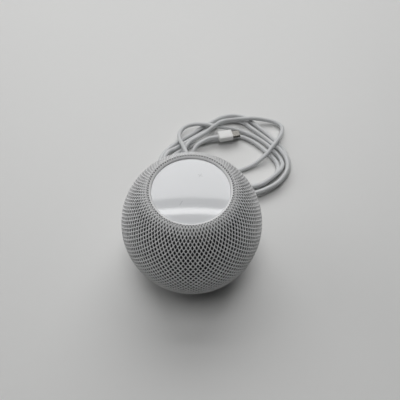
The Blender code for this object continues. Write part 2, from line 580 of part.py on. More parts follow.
def make_housings(shop):
    """The sealed driver housing with its radiator seats, its seal, and the top housing over the
    electronics."""
    seat = SLEEVE_THICKNESS + CLEARANCE
    inner = seat + HOUSING_WALL
    floor_z = CHAMBER_BOTTOM_Z + HOUSING_PLATE
    roof_z = CHAMBER_TOP_Z - HOUSING_PLATE
    outline = [(0, CHAMBER_TOP_Z)] + body_curve(seat, CHAMBER_TOP_Z, CHAMBER_BOTTOM_Z, 8)
    outline += [(DRIVER_OPENING_RADIUS, CHAMBER_BOTTOM_Z), (DRIVER_OPENING_RADIUS, floor_z)]
    outline += body_curve(inner, roof_z, floor_z, 6)[::-1] + [(0, roof_z)]
    housing = shop.turned("main_housing", outline, DARK_PLASTIC, STEPS_BODY, closed=False)

    tube_radius = RADIATOR_SEAT_RADIUS + RADIATOR_SEAT_WALL
    ledge_x = radiator_seat_x(tube_radius) - RADIATOR_FRAME_THICKNESS
    ledge_inner = RADIATOR_SEAT_RADIUS - RADIATOR_LEDGE_WIDTH
    seat_end = radiator_seat_x(tube_radius) + SEAT_SINK
    seat_block = [
        (0, seat_end),
        (tube_radius, seat_end),
        (tube_radius, ledge_x - RADIATOR_LEDGE_THICKNESS),
        (0, ledge_x - RADIATOR_LEDGE_THICKNESS),
    ]
    seat_bore = [
        (0, 1.2 * BODY_RADIUS),
        (RADIATOR_SEAT_RADIUS, 1.2 * BODY_RADIUS),
        (RADIATOR_SEAT_RADIUS, ledge_x),
        (ledge_inner, ledge_x),
        (ledge_inner, ledge_x - 2 * RADIATOR_LEDGE_THICKNESS),
        (0, ledge_x - 2 * RADIATOR_LEDGE_THICKNESS),
    ]
    blocks = []
    bores = []
    for side, sign in (("left", -1), ("right", 1)):
        facing = (0, sign * math.pi / 2, 0)
        place = (0, 0, RADIATOR_AXIS_Z)
        blocks.append(shop.turned(f"{side}_seat_block", seat_block, None, STEPS_MIDDLE, False, place, facing))
        bores.append(shop.turned(f"{side}_seat_bore", seat_bore, None, STEPS_MIDDLE, False, place, facing))
    for tool in blocks:
        combine(housing, tool, "UNION")
    for tool in bores:
        combine(housing, tool, "DIFFERENCE")

    screw_circle = board_edge_radius() - BOARD_SCREW_MARGIN
    foot_z = CHAMBER_TOP_Z - 0.5 * HOUSING_PLATE
    top_z = CHAMBER_TOP_Z + BOARD_STANDOFF
    bore_radius = BOARD_SCREW_SHANK + CLEARANCE
    depth = 2 * (BOARD_STANDOFF - BOSS_FLOOR)
    for i, (x, y, _) in enumerate(ring_of(BOARD_SCREW_COUNT, screw_circle, math.pi / 6)):
        middle = (x, y, 0.5 * (top_z + foot_z))
        boss = shop.rod(
            f"board_boss_{i + 1}", BOSS_RADIUS, top_z - foot_z, None, middle, segments=STEPS_SMALL,
        )
        combine(housing, boss, "UNION")
        place = (x, y, top_z)
        bore = shop.rod(f"board_boss_bore_{i + 1}", bore_radius, depth, None, place, segments=STEPS_SCREW)
        combine(housing, bore, "DIFFERENCE")
    passage_length = 1.4 * (CHAMBER_TOP_Z - CHAMBER_BOTTOM_Z)
    passage_place = (0, lead_rise_y(), 0.5 * (CHAMBER_TOP_Z + CHAMBER_BOTTOM_Z))
    passage = shop.rod(
        "lead_passage", INNER_LEAD_RADIUS + CLEARANCE,
        passage_length, None, passage_place, segments=STEPS_SMALL
    )
    combine(housing, passage, "DIFFERENCE")

    seal_outer = body_radius(TOP_HOUSING_BOTTOM_Z, seat) - CLEARANCE
    seal = [
        (seal_outer - SEAL_WIDTH, SEAL_Z + SEAL_THICKNESS),
        (seal_outer, SEAL_Z + SEAL_THICKNESS),
        (seal_outer, SEAL_Z),
        (seal_outer - SEAL_WIDTH, SEAL_Z),
    ]
    shop.turned("housing_seal", seal, BLACK_RUBBER, STEPS_BODY)

    collar = [(0, TOP_PLATE_Z), (TOP_RECESS_RADIUS, TOP_PLATE_Z), (TOP_RECESS_RADIUS, TOP_HOUSING_CREST_Z)]
    shell = body_curve(seat, TOP_HOUSING_CREST_Z, TOP_HOUSING_BOTTOM_Z, 4)
    lining = body_curve(inner, BAY_ROOF_Z, TOP_HOUSING_BOTTOM_Z, 3)[::-1]
    outline = collar + shell + lining + [(0, BAY_ROOF_Z)]
    shop.turned("top_housing", outline, DARK_PLASTIC, STEPS_BODY, closed=False)


def make_driver(shop):
    """The downward-facing driver: frame, magnet system, suspension and moving parts, all on the body's
    axis."""
    flange_inner = DRIVER_OPENING_RADIUS - BASKET_LIP
    flange_outer = DRIVER_OPENING_RADIUS + BASKET_FLANGE_WIDTH
    flange_top = BASKET_Z + BASKET_FLANGE_THICKNESS
    crown = MAGNET_RADIUS + BASKET_SHOULDER
    basket_mouth = GAP_OUTER_RADIUS + BASKET_SHOULDER
    basket_outline = [
        (basket_mouth, BASKET_TOP_Z),
        (crown, BASKET_TOP_Z),
        (flange_inner + BASKET_WALL, flange_top + BASKET_SHOULDER),
        (flange_inner + BASKET_WALL, flange_top),
        (flange_outer, flange_top),
        (flange_outer, BASKET_Z),
        (flange_inner, BASKET_Z),
        (flange_inner, flange_top),
        (crown - BASKET_WALL, BASKET_TOP_Z - BASKET_WALL),
        (basket_mouth, BASKET_TOP_Z - BASKET_WALL),
    ]
    basket = shop.turned("driver_basket", basket_outline, DARK_PLASTIC, STEPS_MIDDLE)
    window_z = 0.5 * (flange_top + BASKET_TOP_Z) + BASKET_WINDOW_LIFT
    for i, (x, y, turn) in enumerate(ring_of(BASKET_WINDOW_COUNT, crown, math.pi / 4)):
        window = shop.block(f"basket_window_{i + 1}", BASKET_WINDOW, None, (x, y, window_z), turn)
        combine(basket, window, "DIFFERENCE")

    plate_top = TOP_POLE_Z + TOP_PLATE_THICKNESS
    plate_edge = MAGNET_RADIUS - POLE_PIECE_INSET
    top_plate = [
        (GAP_OUTER_RADIUS, plate_top),
        (plate_edge, plate_top),
        (plate_edge, TOP_POLE_Z),
        (GAP_OUTER_RADIUS, TOP_POLE_Z),
    ]
    shop.turned("driver_top_plate", top_plate, STEEL, STEPS_MIDDLE)
    magnet_inner = GAP_OUTER_RADIUS + MAGNET_AIR_GAP
    magnet_top = MAGNET_Z + MAGNET_THICKNESS
    magnet = [
        (magnet_inner, magnet_top),
        (MAGNET_RADIUS, magnet_top),
        (MAGNET_RADIUS, MAGNET_Z),
        (magnet_inner, MAGNET_Z),
    ]
    shop.turned("driver_magnet", magnet, MAGNET_GREY, STEPS_MIDDLE)
    yoke_edge = MAGNET_RADIUS - YOKE_INSET
    yoke = [
        (0, YOKE_Z + YOKE_PLATE),
        (yoke_edge - YOKE_CHAMFER, YOKE_Z + YOKE_PLATE),
        (yoke_edge, YOKE_Z + YOKE_PLATE - YOKE_CHAMFER),
        (yoke_edge, YOKE_Z),
        (GAP_INNER_RADIUS, YOKE_Z),
        (GAP_INNER_RADIUS, TOP_POLE_Z),
        (0, TOP_POLE_Z),
    ]
    shop.turned("driver_yoke", yoke, STEEL, STEPS_MIDDLE, closed=False)

    cone_middle = 0.5 * (CONE_NECK_RADIUS + CONE_EDGE_RADIUS)
    cone_middle_z = CONE_EDGE_Z + 0.5 * CONE_DEPTH
    cone = [
        (CONE_NECK_RADIUS, CONE_NECK_Z),
        (CONE_NECK_RADIUS + CONE_THICKNESS, CONE_NECK_Z),
        (cone_middle + CONE_BELLY, cone_middle_z),
        (CONE_EDGE_RADIUS, CONE_EDGE_Z + CONE_THICKNESS),
        (CONE_EDGE_RADIUS, CONE_EDGE_Z),
        (CONE_EDGE_RADIUS - CONE_THICKNESS, CONE_EDGE_Z),
        (cone_middle + CONE_INNER_BELLY, cone_middle_z - CONE_BELLY_DROP),
    ]
    shop.turned("driver_cone", cone, PAPER_BLACK, STEPS_MIDDLE)
    cap_edge = FORMER_RADIUS - DUST_CAP_INSET
    cap_z = CONE_NECK_Z - CONE_THICKNESS
    outside = [(cap_edge * s, cap_z - DUST_CAP_DOME * (1 - s * s)) for s in (1.0, 0.75, 0.5, 0.25, 0.0)]
    inside = [(radius, height + DUST_CAP_THICKNESS) for radius, height in reversed(outside)]
    shop.turned("driver_dust_cap", inside + outside, PAPER_BLACK, STEPS_SMALL, closed=False)

    former_inner = FORMER_RADIUS - FORMER_WALL
    former_top = FORMER_Z + FORMER_LENGTH
    former = [
        (former_inner, former_top),
        (FORMER_RADIUS, former_top),
        (FORMER_RADIUS, FORMER_Z),
        (former_inner, FORMER_Z),
    ]
    shop.turned("voice_coil_former", former, ALUMINIUM, STEPS_MIDDLE)
    winding_outer = WINDING_INNER_RADIUS + WINDING_THICKNESS
    winding_z = TOP_POLE_Z + 0.5 * TOP_PLATE_THICKNESS - 0.5 * WINDING_LENGTH
    winding = [
        (WINDING_INNER_RADIUS, winding_z + WINDING_LENGTH),
        (winding_outer, winding_z + WINDING_LENGTH),
        (winding_outer, winding_z),
        (WINDING_INNER_RADIUS, winding_z),
    ]
    shop.turned("voice_coil_winding", winding, COPPER, STEPS_MIDDLE)

    surround_z = CONE_EDGE_Z + SUSPENSION_THICKNESS
    surround = rolled_strip(
        CONE_EDGE_RADIUS + CLEARANCE, DRIVER_OPENING_RADIUS - CLEARANCE,
        surround_z, surround_z + SURROUND_DROP, -SURROUND_ROLL, 1, 5,
    )
    shop.turned("driver_surround", surround, BLACK_RUBBER, STEPS_MIDDLE)
    spider_outer = crown - BASKET_WALL - CLEARANCE - SPIDER_EDGE_GAP
    spider_outer_z = BASKET_TOP_Z - BASKET_WALL - SPIDER_SEAT
    spider_inner = CONE_NECK_RADIUS + CONE_THICKNESS
    spider = rolled_strip(
        spider_inner, spider_outer, spider_outer_z - SPIDER_DROP, spider_outer_z,
        SPIDER_WAVE_HEIGHT, SPIDER_WAVES, 3 * SPIDER_WAVES,
    )
    shop.turned("driver_spider", spider, AMBER_CLOTH, STEPS_MIDDLE)


def rolled_strip(inner, outer, inner_z, outer_z, roll, waves, count):
    """A closed outline of a thin ring that climbs from inner to outer and swells in half waves between."""
    upper = []
    for i in range(count + 1):
        share = i / count
        swell = roll * math.sin(math.pi * waves * share)
        upper.append((inner + (outer - inner) * share, inner_z + (outer_z - inner_z) * share + swell))
    lower = [(r, z - SUSPENSION_THICKNESS) for r, z in reversed(upper)]
    return upper + lower


def make_radiators(shop):
    """A pair of passive radiators that face the two sides, each a frame, a roll, a plate and its weight."""
    tube_radius = RADIATOR_SEAT_RADIUS + RADIATOR_SEAT_WALL
    frame_x = radiator_seat_x(tube_radius) - RADIATOR_FRAME_THICKNESS + CLEARANCE
    frame_outer = RADIATOR_SEAT_RADIUS - CLEARANCE
    frame_inner = frame_outer - RADIATOR_FRAME_WIDTH
    frame_end = frame_x + RADIATOR_FRAME_THICKNESS
    plate_x = frame_x - RADIATOR_SET_BACK
    plate_end = plate_x + RADIATOR_PLATE_THICKNESS
    weight_end = plate_x - CLEARANCE
    weight_x = weight_end - RADIATOR_WEIGHT_THICKNESS
    frame = [
        (frame_inner, frame_end), (frame_outer, frame_end), (frame_outer, frame_x), (frame_inner, frame_x),
    ]
    plate = [
        (0, plate_end),
        (RADIATOR_PLATE_RADIUS - RADIATOR_CHAMFER, plate_end),
        (RADIATOR_PLATE_RADIUS, plate_end - RADIATOR_CHAMFER),
        (RADIATOR_PLATE_RADIUS, plate_x),
        (0, plate_x),
    ]
    weight = [
        (0, weight_end),
        (RADIATOR_WEIGHT_RADIUS, weight_end),
        (RADIATOR_WEIGHT_RADIUS, weight_x + RADIATOR_CHAMFER),
        (RADIATOR_WEIGHT_RADIUS - RADIATOR_CHAMFER, weight_x),
        (0, weight_x),
    ]
    roll = rolled_strip(
        RADIATOR_PLATE_RADIUS + CLEARANCE, frame_inner - CLEARANCE,
        plate_end, plate_end + RADIATOR_DROP, RADIATOR_ROLL, 1, 5,
    )
    for side, sign in (("left", -1), ("right", 1)):
        facing = (0, sign * math.pi / 2, 0)
        place = (0, 0, RADIATOR_AXIS_Z)
        shop.turned(f"{side}_radiator_frame", frame, DARK_PLASTIC, STEPS_MIDDLE, True, place, facing)
        shop.turned(f"{side}_radiator_surround", roll, BLACK_RUBBER, STEPS_MIDDLE, True, place, facing)
        shop.turned(f"{side}_radiator_plate", plate, PAPER_BLACK, STEPS_MIDDLE, False, place, facing)
        shop.turned(f"{side}_radiator_weight", weight, STEEL, STEPS_SMALL, False, place, facing)


def board_edge_radius():
    """The logic board's radius, which leaves room for the inner lead to pass its edge."""
    return lead_rise_y() - INNER_LEAD_RADIUS - BOARD_LEAD_GAP


def lead_rise_y():
    """How far back the inner lead climbs through the driver housing, one bend in front of the grommet."""
    return grommet_flange_y() - CLEARANCE - INNER_LEAD_BEND


def make_electronics(shop):
    """The logic board with what stands on it, the antennas, and the inner power lead with its plug."""
    edge = board_edge_radius()
    board_outline = [(0, BOARD_TOP_Z), (edge, BOARD_TOP_Z), (edge, BOARD_Z), (0, BOARD_Z)]
    board = shop.turned("logic_board", board_outline, BOARD_GREEN, STEPS_MIDDLE, closed=False)
    length = BOARD_THICKNESS + BOARD_STANDOFF - BOARD_SCREW_SHORTFALL + SCREW_HEAD_HEIGHT
    screw = screw_outline(BOARD_SCREW_SHANK, BOARD_SCREW_HEAD, SCREW_HEAD_HEIGHT, length, BOARD_SCREW_RECESS)
    head_top = BOARD_TOP_Z + CLEARANCE + SCREW_HEAD_HEIGHT
    hole_radius = BOARD_SCREW_SHANK + CLEARANCE
    hole_length = 3 * BOARD_THICKNESS
    for i, (x, y, _) in enumerate(ring_of(BOARD_SCREW_COUNT, edge - BOARD_SCREW_MARGIN, math.pi / 6)):
        place = (x, y, head_top)
        shop.turned(f"board_screw_{i + 1}", screw, STEEL, STEPS_SCREW, False, place, (math.pi, 0, 0))
        place = (x, y, BOARD_Z)
        hole = shop.rod(f"board_hole_{i + 1}", hole_radius, hole_length, None, place, segments=STEPS_SCREW)
        combine(board, hole, "DIFFERENCE")

    def stand(name, size, place, finish, bevel):
        centre = (place[0], place[1], BOARD_TOP_Z + CLEARANCE + 0.5 * size[2])
        return shop.block(name, size, finish, centre, bevel=bevel, segments=1)

    stand("processor_shield", PROCESSOR_SIZE, PROCESSOR_PLACE, STEEL, SHIELD_BEVEL)
    stand("wireless_shield", WIRELESS_SIZE, WIRELESS_PLACE, STEEL, SHIELD_BEVEL)
    stand("power_inductor", INDUCTOR_SIZE, INDUCTOR_PLACE, MAGNET_GREY, INDUCTOR_BEVEL)
    socket_place = (0, edge - SOCKET_MARGIN - 0.5 * SOCKET_SIZE[1])
    socket = stand("board_power_socket", SOCKET_SIZE, socket_place, MILKY, 0.0)
    mouth_z = BOARD_TOP_Z + CLEARANCE + 0.5 * SOCKET_SIZE[2]
    mouth_y = socket_place[1] + 0.5 * SOCKET_SIZE[1]
    mouth_size = (
        INNER_PLUG_SIZE[0] + 2 * CLEARANCE,
        2 * SOCKET_MOUTH_DEPTH,
        INNER_PLUG_SIZE[2] + 2 * CLEARANCE,
    )
    mouth = shop.block("socket_mouth", mouth_size, None, (0, mouth_y, mouth_z))
    combine(socket, mouth, "DIFFERENCE")
    plug_y = mouth_y - INNER_PLUG_DEPTH + 0.5 * INNER_PLUG_SIZE[1]
    place = (0, plug_y, mouth_z)
    shop.block("inner_power_plug", INNER_PLUG_SIZE, MILKY, place, bevel=INNER_PLUG_BEVEL, segments=1)

    plug_end = plug_y + 0.5 * INNER_PLUG_SIZE[1] + CLEARANCE
    bend_y = lead_rise_y() + INNER_LEAD_BEND
    low_bend = arc((bend_y, CORD_EXIT_Z + INNER_LEAD_BEND), INNER_LEAD_BEND, -math.pi / 2, -math.pi, 4)
    bend_y = lead_rise_y() - INNER_LEAD_BEND
    high_bend = arc((bend_y, mouth_z - INNER_LEAD_BEND), INNER_LEAD_BEND, 0, math.pi / 2, 4)
    path = [(0, y, z) for y, z in low_bend + high_bend] + [(0, plug_end, mouth_z)]
    shop.wire("inner_power_lead", path, INNER_LEAD_RADIUS, LEAD_WHITE)

    lining = SLEEVE_THICKNESS + CLEARANCE + HOUSING_WALL
    spreader_edge = body_radius(BAY_ROOF_Z, lining) - SPREADER_MARGIN
    spreader_top = BAY_ROOF_Z - CLEARANCE
    spreader = [
        (0, spreader_top),
        (spreader_edge, spreader_top),
        (spreader_edge, spreader_top - SPREADER_THICKNESS),
        (0, spreader_top - SPREADER_THICKNESS),
    ]
    shop.turned("heat_spreader", spreader, ALUMINIUM, STEPS_MIDDLE, closed=False)

    antenna_radius = edge - ANTENNA_INSET
    foot_z = BOARD_TOP_Z + CLEARANCE
    head_z = foot_z + ANTENNA_HEIGHT
    for i, middle in enumerate((0.0, math.pi)):
        mesh = bpy.data.meshes.new(f"antenna_{i + 1}")
        mesh.from_pydata([(antenna_radius, 0, head_z), (antenna_radius, 0, foot_z)], [(0, 1)], [])
        turn = (0, 0, middle - 0.5 * ANTENNA_SWEEP)
        item = shop.place(f"antenna_{i + 1}", mesh, COPPER, (0, 0, 0), turn)
        sweep = item.modifiers.new("sweep", "SCREW")
        sweep.angle = ANTENNA_SWEEP
        sweep.steps = ANTENNA_STEPS
        sweep.render_steps = ANTENNA_STEPS
        sweep.use_merge_vertices = False
        sheet = item.modifiers.new("sheet", "SOLIDIFY")
        sheet.thickness = ANTENNA_THICKNESS


def make_top(shop):
    """The touch disc with what lies under it: sensor film, diffuser, lights, light board and microphones."""
    dome = [(DISC_RADIUS * s, DISC_EDGE_Z + DISC_DOME * (1 - s * s)) for s in (0, 0.25, 0.5, 0.75, 0.93)]
    chamfer_z = DISC_EDGE_Z - DISC_EDGE_CHAMFER
    rim = [(DISC_RADIUS, chamfer_z), (DISC_RADIUS, DISC_UNDERSIDE_Z), (0, DISC_UNDERSIDE_Z)]
    shop.turned("touch_disc", dome + rim, GLOSS_WHITE, STEPS_BODY, closed=False)
    film_edge = TOP_RECESS_RADIUS - CLEARANCE
    for name, low, thickness, edge, finish in (
        ("touch_sensor", SENSOR_Z, SENSOR_THICKNESS, film_edge, COPPER),
        ("light_diffuser", DIFFUSER_Z, DIFFUSER_THICKNESS, film_edge, MILKY),
        ("led_board", LED_BOARD_Z, LED_BOARD_THICKNESS, LED_BOARD_RADIUS, BOARD_GREEN),
    ):
        disc = [(0, low + thickness), (edge, low + thickness), (edge, low), (0, low)]
        shop.turned(name, disc, finish, STEPS_MIDDLE, closed=False)
    for i, (x, y, turn) in enumerate(ring_of(LED_COUNT, LED_CIRCLE, math.pi / 2)):
        shop.block(f"led_{i + 1}", LED_SIZE, MILKY, (x, y, LED_Z + 0.5 * LED_SIZE[2]), turn)
    for i, (x, y, turn) in enumerate(ring_of(MIC_COUNT, MIC_CIRCLE, math.pi / 6)):
        middle = TOP_PLATE_Z + CLEARANCE + 0.5 * MIC_SIZE[2]
        shop.block(f"mic_module_{i + 1}", MIC_SIZE, STEEL, (x, y, middle), turn)


def grommet_flange_y():
    """Where the grommet's flange starts, behind the sleeve's inner face at the exit's lowest edge."""
    low = CORD_EXIT_Z - GROMMET_FLANGE_RADIUS
    wall = body_radius(low, SLEEVE_THICKNESS)
    side = math.sqrt(wall * wall - GROMMET_FLANGE_RADIUS ** 2)
    return side - CLEARANCE - GROMMET_FLANGE_THICKNESS


def route_shift():
    """How far back the whole route moves, so that it starts just off the grommet's tip."""
    start = grommet_flange_y() + GROMMET_LENGTH + CLEARANCE
    return Vector((0, start - CORD_ROUTE[0][1] * MM, 0))


def make_lead(shop):
    """The grommet at the rear, the lead along its route and the plug on its end."""
    flange = grommet_flange_y()
    shoulder = flange + GROMMET_FLANGE_THICKNESS
    tip = flange + GROMMET_LENGTH
    grommet = [
        (0, tip),
        (GROMMET_TIP_RADIUS - GROMMET_CHAMFER, tip),
        (GROMMET_TIP_RADIUS, tip - GROMMET_CHAMFER),
        (GROMMET_NECK_RADIUS, shoulder + GROMMET_SHOULDER),
        (GROMMET_NECK_RADIUS, shoulder),
        (GROMMET_FLANGE_RADIUS, shoulder),
        (GROMMET_FLANGE_RADIUS, flange),
        (0, flange),
    ]
    shop.turned("cord_grommet", grommet, LEAD_WHITE, STEPS_SMALL, False, (0, 0, CORD_EXIT_Z), FACING_REAR)
    shop.wire("power_cord", cord_corners(CORD_CORNERS), CORD_RADIUS, LEAD_WHITE)

    end = Vector(CORD_ROUTE[-1]) * MM + route_shift()
    along = Vector((math.cos(PLUG_HEADING), math.sin(PLUG_HEADING), 0))
    boot_middle = end + along * (CLEARANCE + 0.5 * PLUG_BODY[0])
    shop.block("plug_boot", PLUG_BODY, LEAD_WHITE, boot_middle, PLUG_HEADING, PLUG_ROUND, 3)
    shell_start = CLEARANCE + PLUG_BODY[0] + CLEARANCE
    shell_middle = end + along * (shell_start + 0.5 * PLUG_SHELL[0])
    shell = shop.block("plug_shell", PLUG_SHELL, STEEL, shell_middle, PLUG_HEADING)
    round_long_edges(shell, PLUG_SHELL_ROUND)
    hollow_size = (
        PLUG_SHELL[0],
        PLUG_SHELL[1] - 2 * PLUG_SHELL_WALL,
        PLUG_SHELL[2] - 2 * PLUG_SHELL_WALL,
    )
    shell_back = 2 * PLUG_SHELL_WALL
    hollow = shop.block(
        "plug_shell_hollow", hollow_size, None, shell_middle + along * shell_back, PLUG_HEADING,
    )
    round_long_edges(hollow, PLUG_HOLLOW_ROUND)
    combine(shell, hollow, "DIFFERENCE")
    insert_size = (PLUG_INSERT_DEPTH, hollow_size[1] - 2 * CLEARANCE, hollow_size[2] - 2 * CLEARANCE)
    insert_middle = end + along * (shell_start + shell_back + CLEARANCE + 0.5 * PLUG_INSERT_DEPTH)
    shop.block("plug_insert", insert_size, DARK_PLASTIC, insert_middle, PLUG_HEADING)


def round_long_edges(item, width):
    """Rounds the four edges along a block's own X."""
    weights = item.data.attributes.new("bevel_weight_edge", "FLOAT", "EDGE")
    for edge in item.data.edges:
        first, second = (item.data.vertices[v].co for v in edge.vertices)
        weights.data[edge.index].value = 1.0 if abs(first.x - second.x) > 1e-6 else 0.0
    rounding = item.modifiers.new("rounding", "BEVEL")
    rounding.width = width
    rounding.segments = 4
    rounding.limit_method = "WEIGHT"


def smooth_route(route, steps):
    """Points of a centripetal spline through the route, so that it bends without kinks."""
    knots = np.array(route, float)
    knots = np.vstack([2 * knots[0] - knots[1], knots, 2 * knots[-1] - knots[-2]])
    points = []
    for i in range(1, len(knots) - 2):
        a, b, c, d = knots[i - 1:i + 3]
        ta = 0.0
        tb = ta + np.linalg.norm(b - a) ** 0.5
        tc = tb + np.linalg.norm(c - b) ** 0.5
        td = tc + np.linalg.norm(d - c) ** 0.5
        for t in np.linspace(tb, tc, steps, endpoint=False):
            ab = ((tb - t) * a + (t - ta) * b) / (tb - ta)
            bc = ((tc - t) * b + (t - tb) * c) / (tc - tb)
            cd = ((td - t) * c + (t - tc) * d) / (td - tc)
            abc = ((tc - t) * ab + (t - ta) * bc) / (tc - ta)
            bcd = ((td - t) * bc + (t - tb) * cd) / (td - tb)
            points.append(((tc - t) * abc + (t - tb) * bcd) / (tc - tb))
    points.append(knots[-2])
    return np.array(points)


def cord_corners(count):
    """Corners for the lead's tube in metres, closer together where it bends more."""
    line = smooth_route(CORD_ROUTE, CORD_FINE_STEPS) * MM + np.array(route_shift())
    steps = np.linalg.norm(np.diff(line, axis=0), axis=1)
    heading = np.diff(line, axis=0) / steps[:, None]
    turning = np.linalg.norm(np.diff(heading, axis=0), axis=1) / (0.5 * (steps[1:] + steps[:-1]))
    turning = np.concatenate([turning[:1], turning, turning[-1:]])
    turning = np.convolve(turning, np.ones(CORD_SMOOTHING) / CORD_SMOOTHING, mode="same")
    density = np.sqrt(np.clip(turning, *CORD_TURNING))
    travel = np.concatenate([[0.0], np.cumsum(0.5 * (density[1:] + density[:-1]) * steps)])
    wanted = np.linspace(0, travel[-1], count)
    columns = [np.interp(wanted, travel, line[:, axis]) for axis in range(3)]
    return [tuple(corner) for corner in np.stack(columns, axis=1)]


def main():
    for item in list(bpy.data.objects):
        bpy.data.objects.remove(item, do_unlink=True)
    shop = Workshop()
    make_cover(shop)
    make_base(shop)
    make_housings(shop)
    make_driver(shop)
    make_radiators(shop)
    make_electronics(shop)
    make_top(shop)
    make_lead(shop)


main()
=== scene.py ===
"""Looks of a small round tabletop speaker with a knitted cover, a glossy touch top and a loose lead.

Metres, +Z up, with the origin under the middle of the foot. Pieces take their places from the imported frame,
and the lead lies on the same route as its solid there.
"""
import logging
import math
from dataclasses import dataclass
from enum import Enum
from functools import lru_cache
from typing import Sequence

import bmesh
import bpy
import numpy as np
from mathutils import Matrix, Vector


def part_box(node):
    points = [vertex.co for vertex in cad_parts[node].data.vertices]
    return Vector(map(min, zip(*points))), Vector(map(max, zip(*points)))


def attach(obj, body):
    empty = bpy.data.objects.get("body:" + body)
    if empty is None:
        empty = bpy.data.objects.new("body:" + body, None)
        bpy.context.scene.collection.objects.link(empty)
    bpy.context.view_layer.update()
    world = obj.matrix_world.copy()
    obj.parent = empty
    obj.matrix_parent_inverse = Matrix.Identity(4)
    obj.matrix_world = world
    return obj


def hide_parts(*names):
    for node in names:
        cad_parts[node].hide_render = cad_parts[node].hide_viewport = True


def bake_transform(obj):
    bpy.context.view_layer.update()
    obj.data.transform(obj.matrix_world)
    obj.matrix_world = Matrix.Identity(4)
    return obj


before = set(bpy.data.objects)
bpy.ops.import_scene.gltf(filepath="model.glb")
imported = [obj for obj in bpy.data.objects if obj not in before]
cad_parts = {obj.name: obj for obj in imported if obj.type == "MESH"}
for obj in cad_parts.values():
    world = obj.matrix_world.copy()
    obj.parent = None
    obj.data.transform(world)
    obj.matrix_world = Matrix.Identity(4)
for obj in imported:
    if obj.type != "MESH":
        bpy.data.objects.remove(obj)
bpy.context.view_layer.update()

MM = 0.001
ROOT = "root"

log = logging.getLogger("speaker")

Colour = tuple[float, float, float]
Piece = bpy.types.Object


# -------------------------------------------------------------------------------------------- shader wiring


class Wiring:
    """Short calls for adding and joining the nodes of one tree."""

    def __init__(self, tree: bpy.types.NodeTree) -> None:
        """Keeps the tree that the nodes go in."""
        self.tree = tree

    def node(self, kind: str, **settings: object) -> bpy.types.Node:
        """Adds a node.

        Args:
            kind: the node's type, without its ShaderNode start.
            settings: properties to set on the node.

        Returns:
            The new node.
        """
        made = self.tree.nodes.new(f"ShaderNode{kind}")
        for name, value in settings.items():
            setattr(made, name, value)
        return made

    def feed(self, target: bpy.types.NodeSocket, value: object) -> None:
        """Joins a socket to the target, or sets the target's own value."""
        if isinstance(value, bpy.types.NodeSocket):
            self.tree.links.new(value, target)
        else:
            target.default_value = value

    def maths(self, operation: str, *values: object) -> bpy.types.NodeSocket:
        """Adds a Math node.

        Args:
            operation: the node's operation.
            values: sockets or numbers for its inputs, in order.

        Returns:
            The node's result.
        """
        made = self.node("Math", operation=operation)
        for target, value in zip(made.inputs, values):
            self.feed(target, value)
        return made.outputs[0]

    def span(self, value: object, low: float, high: float) -> bpy.types.NodeSocket:
        """Maps a value from the range low to high onto 0 to 1, held at the ends.

        Args:
            value: the socket to map.
            low: what becomes 0.
            high: what becomes 1.

        Returns:
            The mapped value.
        """
        made = self.node("MapRange", clamp=True, interpolation_type="SMOOTHSTEP")
        self.feed(made.inputs["Value"], value)
        made.inputs["From Min"].default_value = low
        made.inputs["From Max"].default_value = high
        return made.outputs["Result"]

    def mix(self, share: object, first: object, second: object, how: str = "MIX") -> bpy.types.NodeSocket:
        """Mixes two colours.

        Args:
            share: how much of the second colour.
            first: the first colour.
            second: the second colour.
            how: the mixing mode.

        Returns:
            The mixed colour.
        """
        made = self.node("Mix", data_type="RGBA", blend_type=how)
        self.feed(made.inputs[0], share)
        self.feed(made.inputs[6], first)
        self.feed(made.inputs[7], second)
        return made.outputs[2]

    def noise(self, place: object, scale: object, detail: float = 3.0) -> bpy.types.NodeSocket:
        """Adds a noise texture.

        Args:
            place: the coordinates that it reads.
            scale: how many features there are to a metre.
            detail: how many finer layers it has.

        Returns:
            Its value, from 0 to 1.
        """
        made = self.node("TexNoise")
        self.feed(made.inputs["Vector"], place)
        self.feed(made.inputs["Scale"], scale)
        made.inputs["Detail"].default_value = detail
        return made.outputs[0]

    def effect(self, tree: bpy.types.NodeTree, **values: object) -> bpy.types.Node:
        """Places a shared effect.

        Args:
            tree: the effect's group.
            values: sockets or numbers for its named inputs.

        Returns:
            The group node.
        """
        made = self.node("Group", node_tree=tree)
        for name, value in values.items():
            self.feed(made.inputs[name], value)
        return made


# ------------------------------------------------------------------------------------------- shared effects

FLOAT = "NodeSocketFloat"
VECTOR = "NodeSocketVector"
COLOUR = "NodeSocketColor"


@dataclass
class EffectGroup:
    """A shader group under construction, with its entry and exit nodes."""

    name: str
    inputs: dict[str, tuple[str, object]]
    outputs: dict[str, str]

    def start(self) -> tuple[Wiring, dict[str, bpy.types.NodeSocket], bpy.types.Node]:
        """Makes the group's sockets.

        Returns:
            Its wiring, its input values by name, and its exit node.
        """
        tree = bpy.data.node_groups.new(self.name, "ShaderNodeTree")
        for label, (kind, value) in self.inputs.items():
            tree.interface.new_socket(label, in_out="INPUT", socket_type=kind).default_value = value
        for label, kind in self.outputs.items():
            tree.interface.new_socket(label, in_out="OUTPUT", socket_type=kind)
        enter = tree.nodes.new("NodeGroupInput")
        leave = tree.nodes.new("NodeGroupOutput")
        return Wiring(tree), {label: enter.outputs[label] for label in self.inputs}, leave


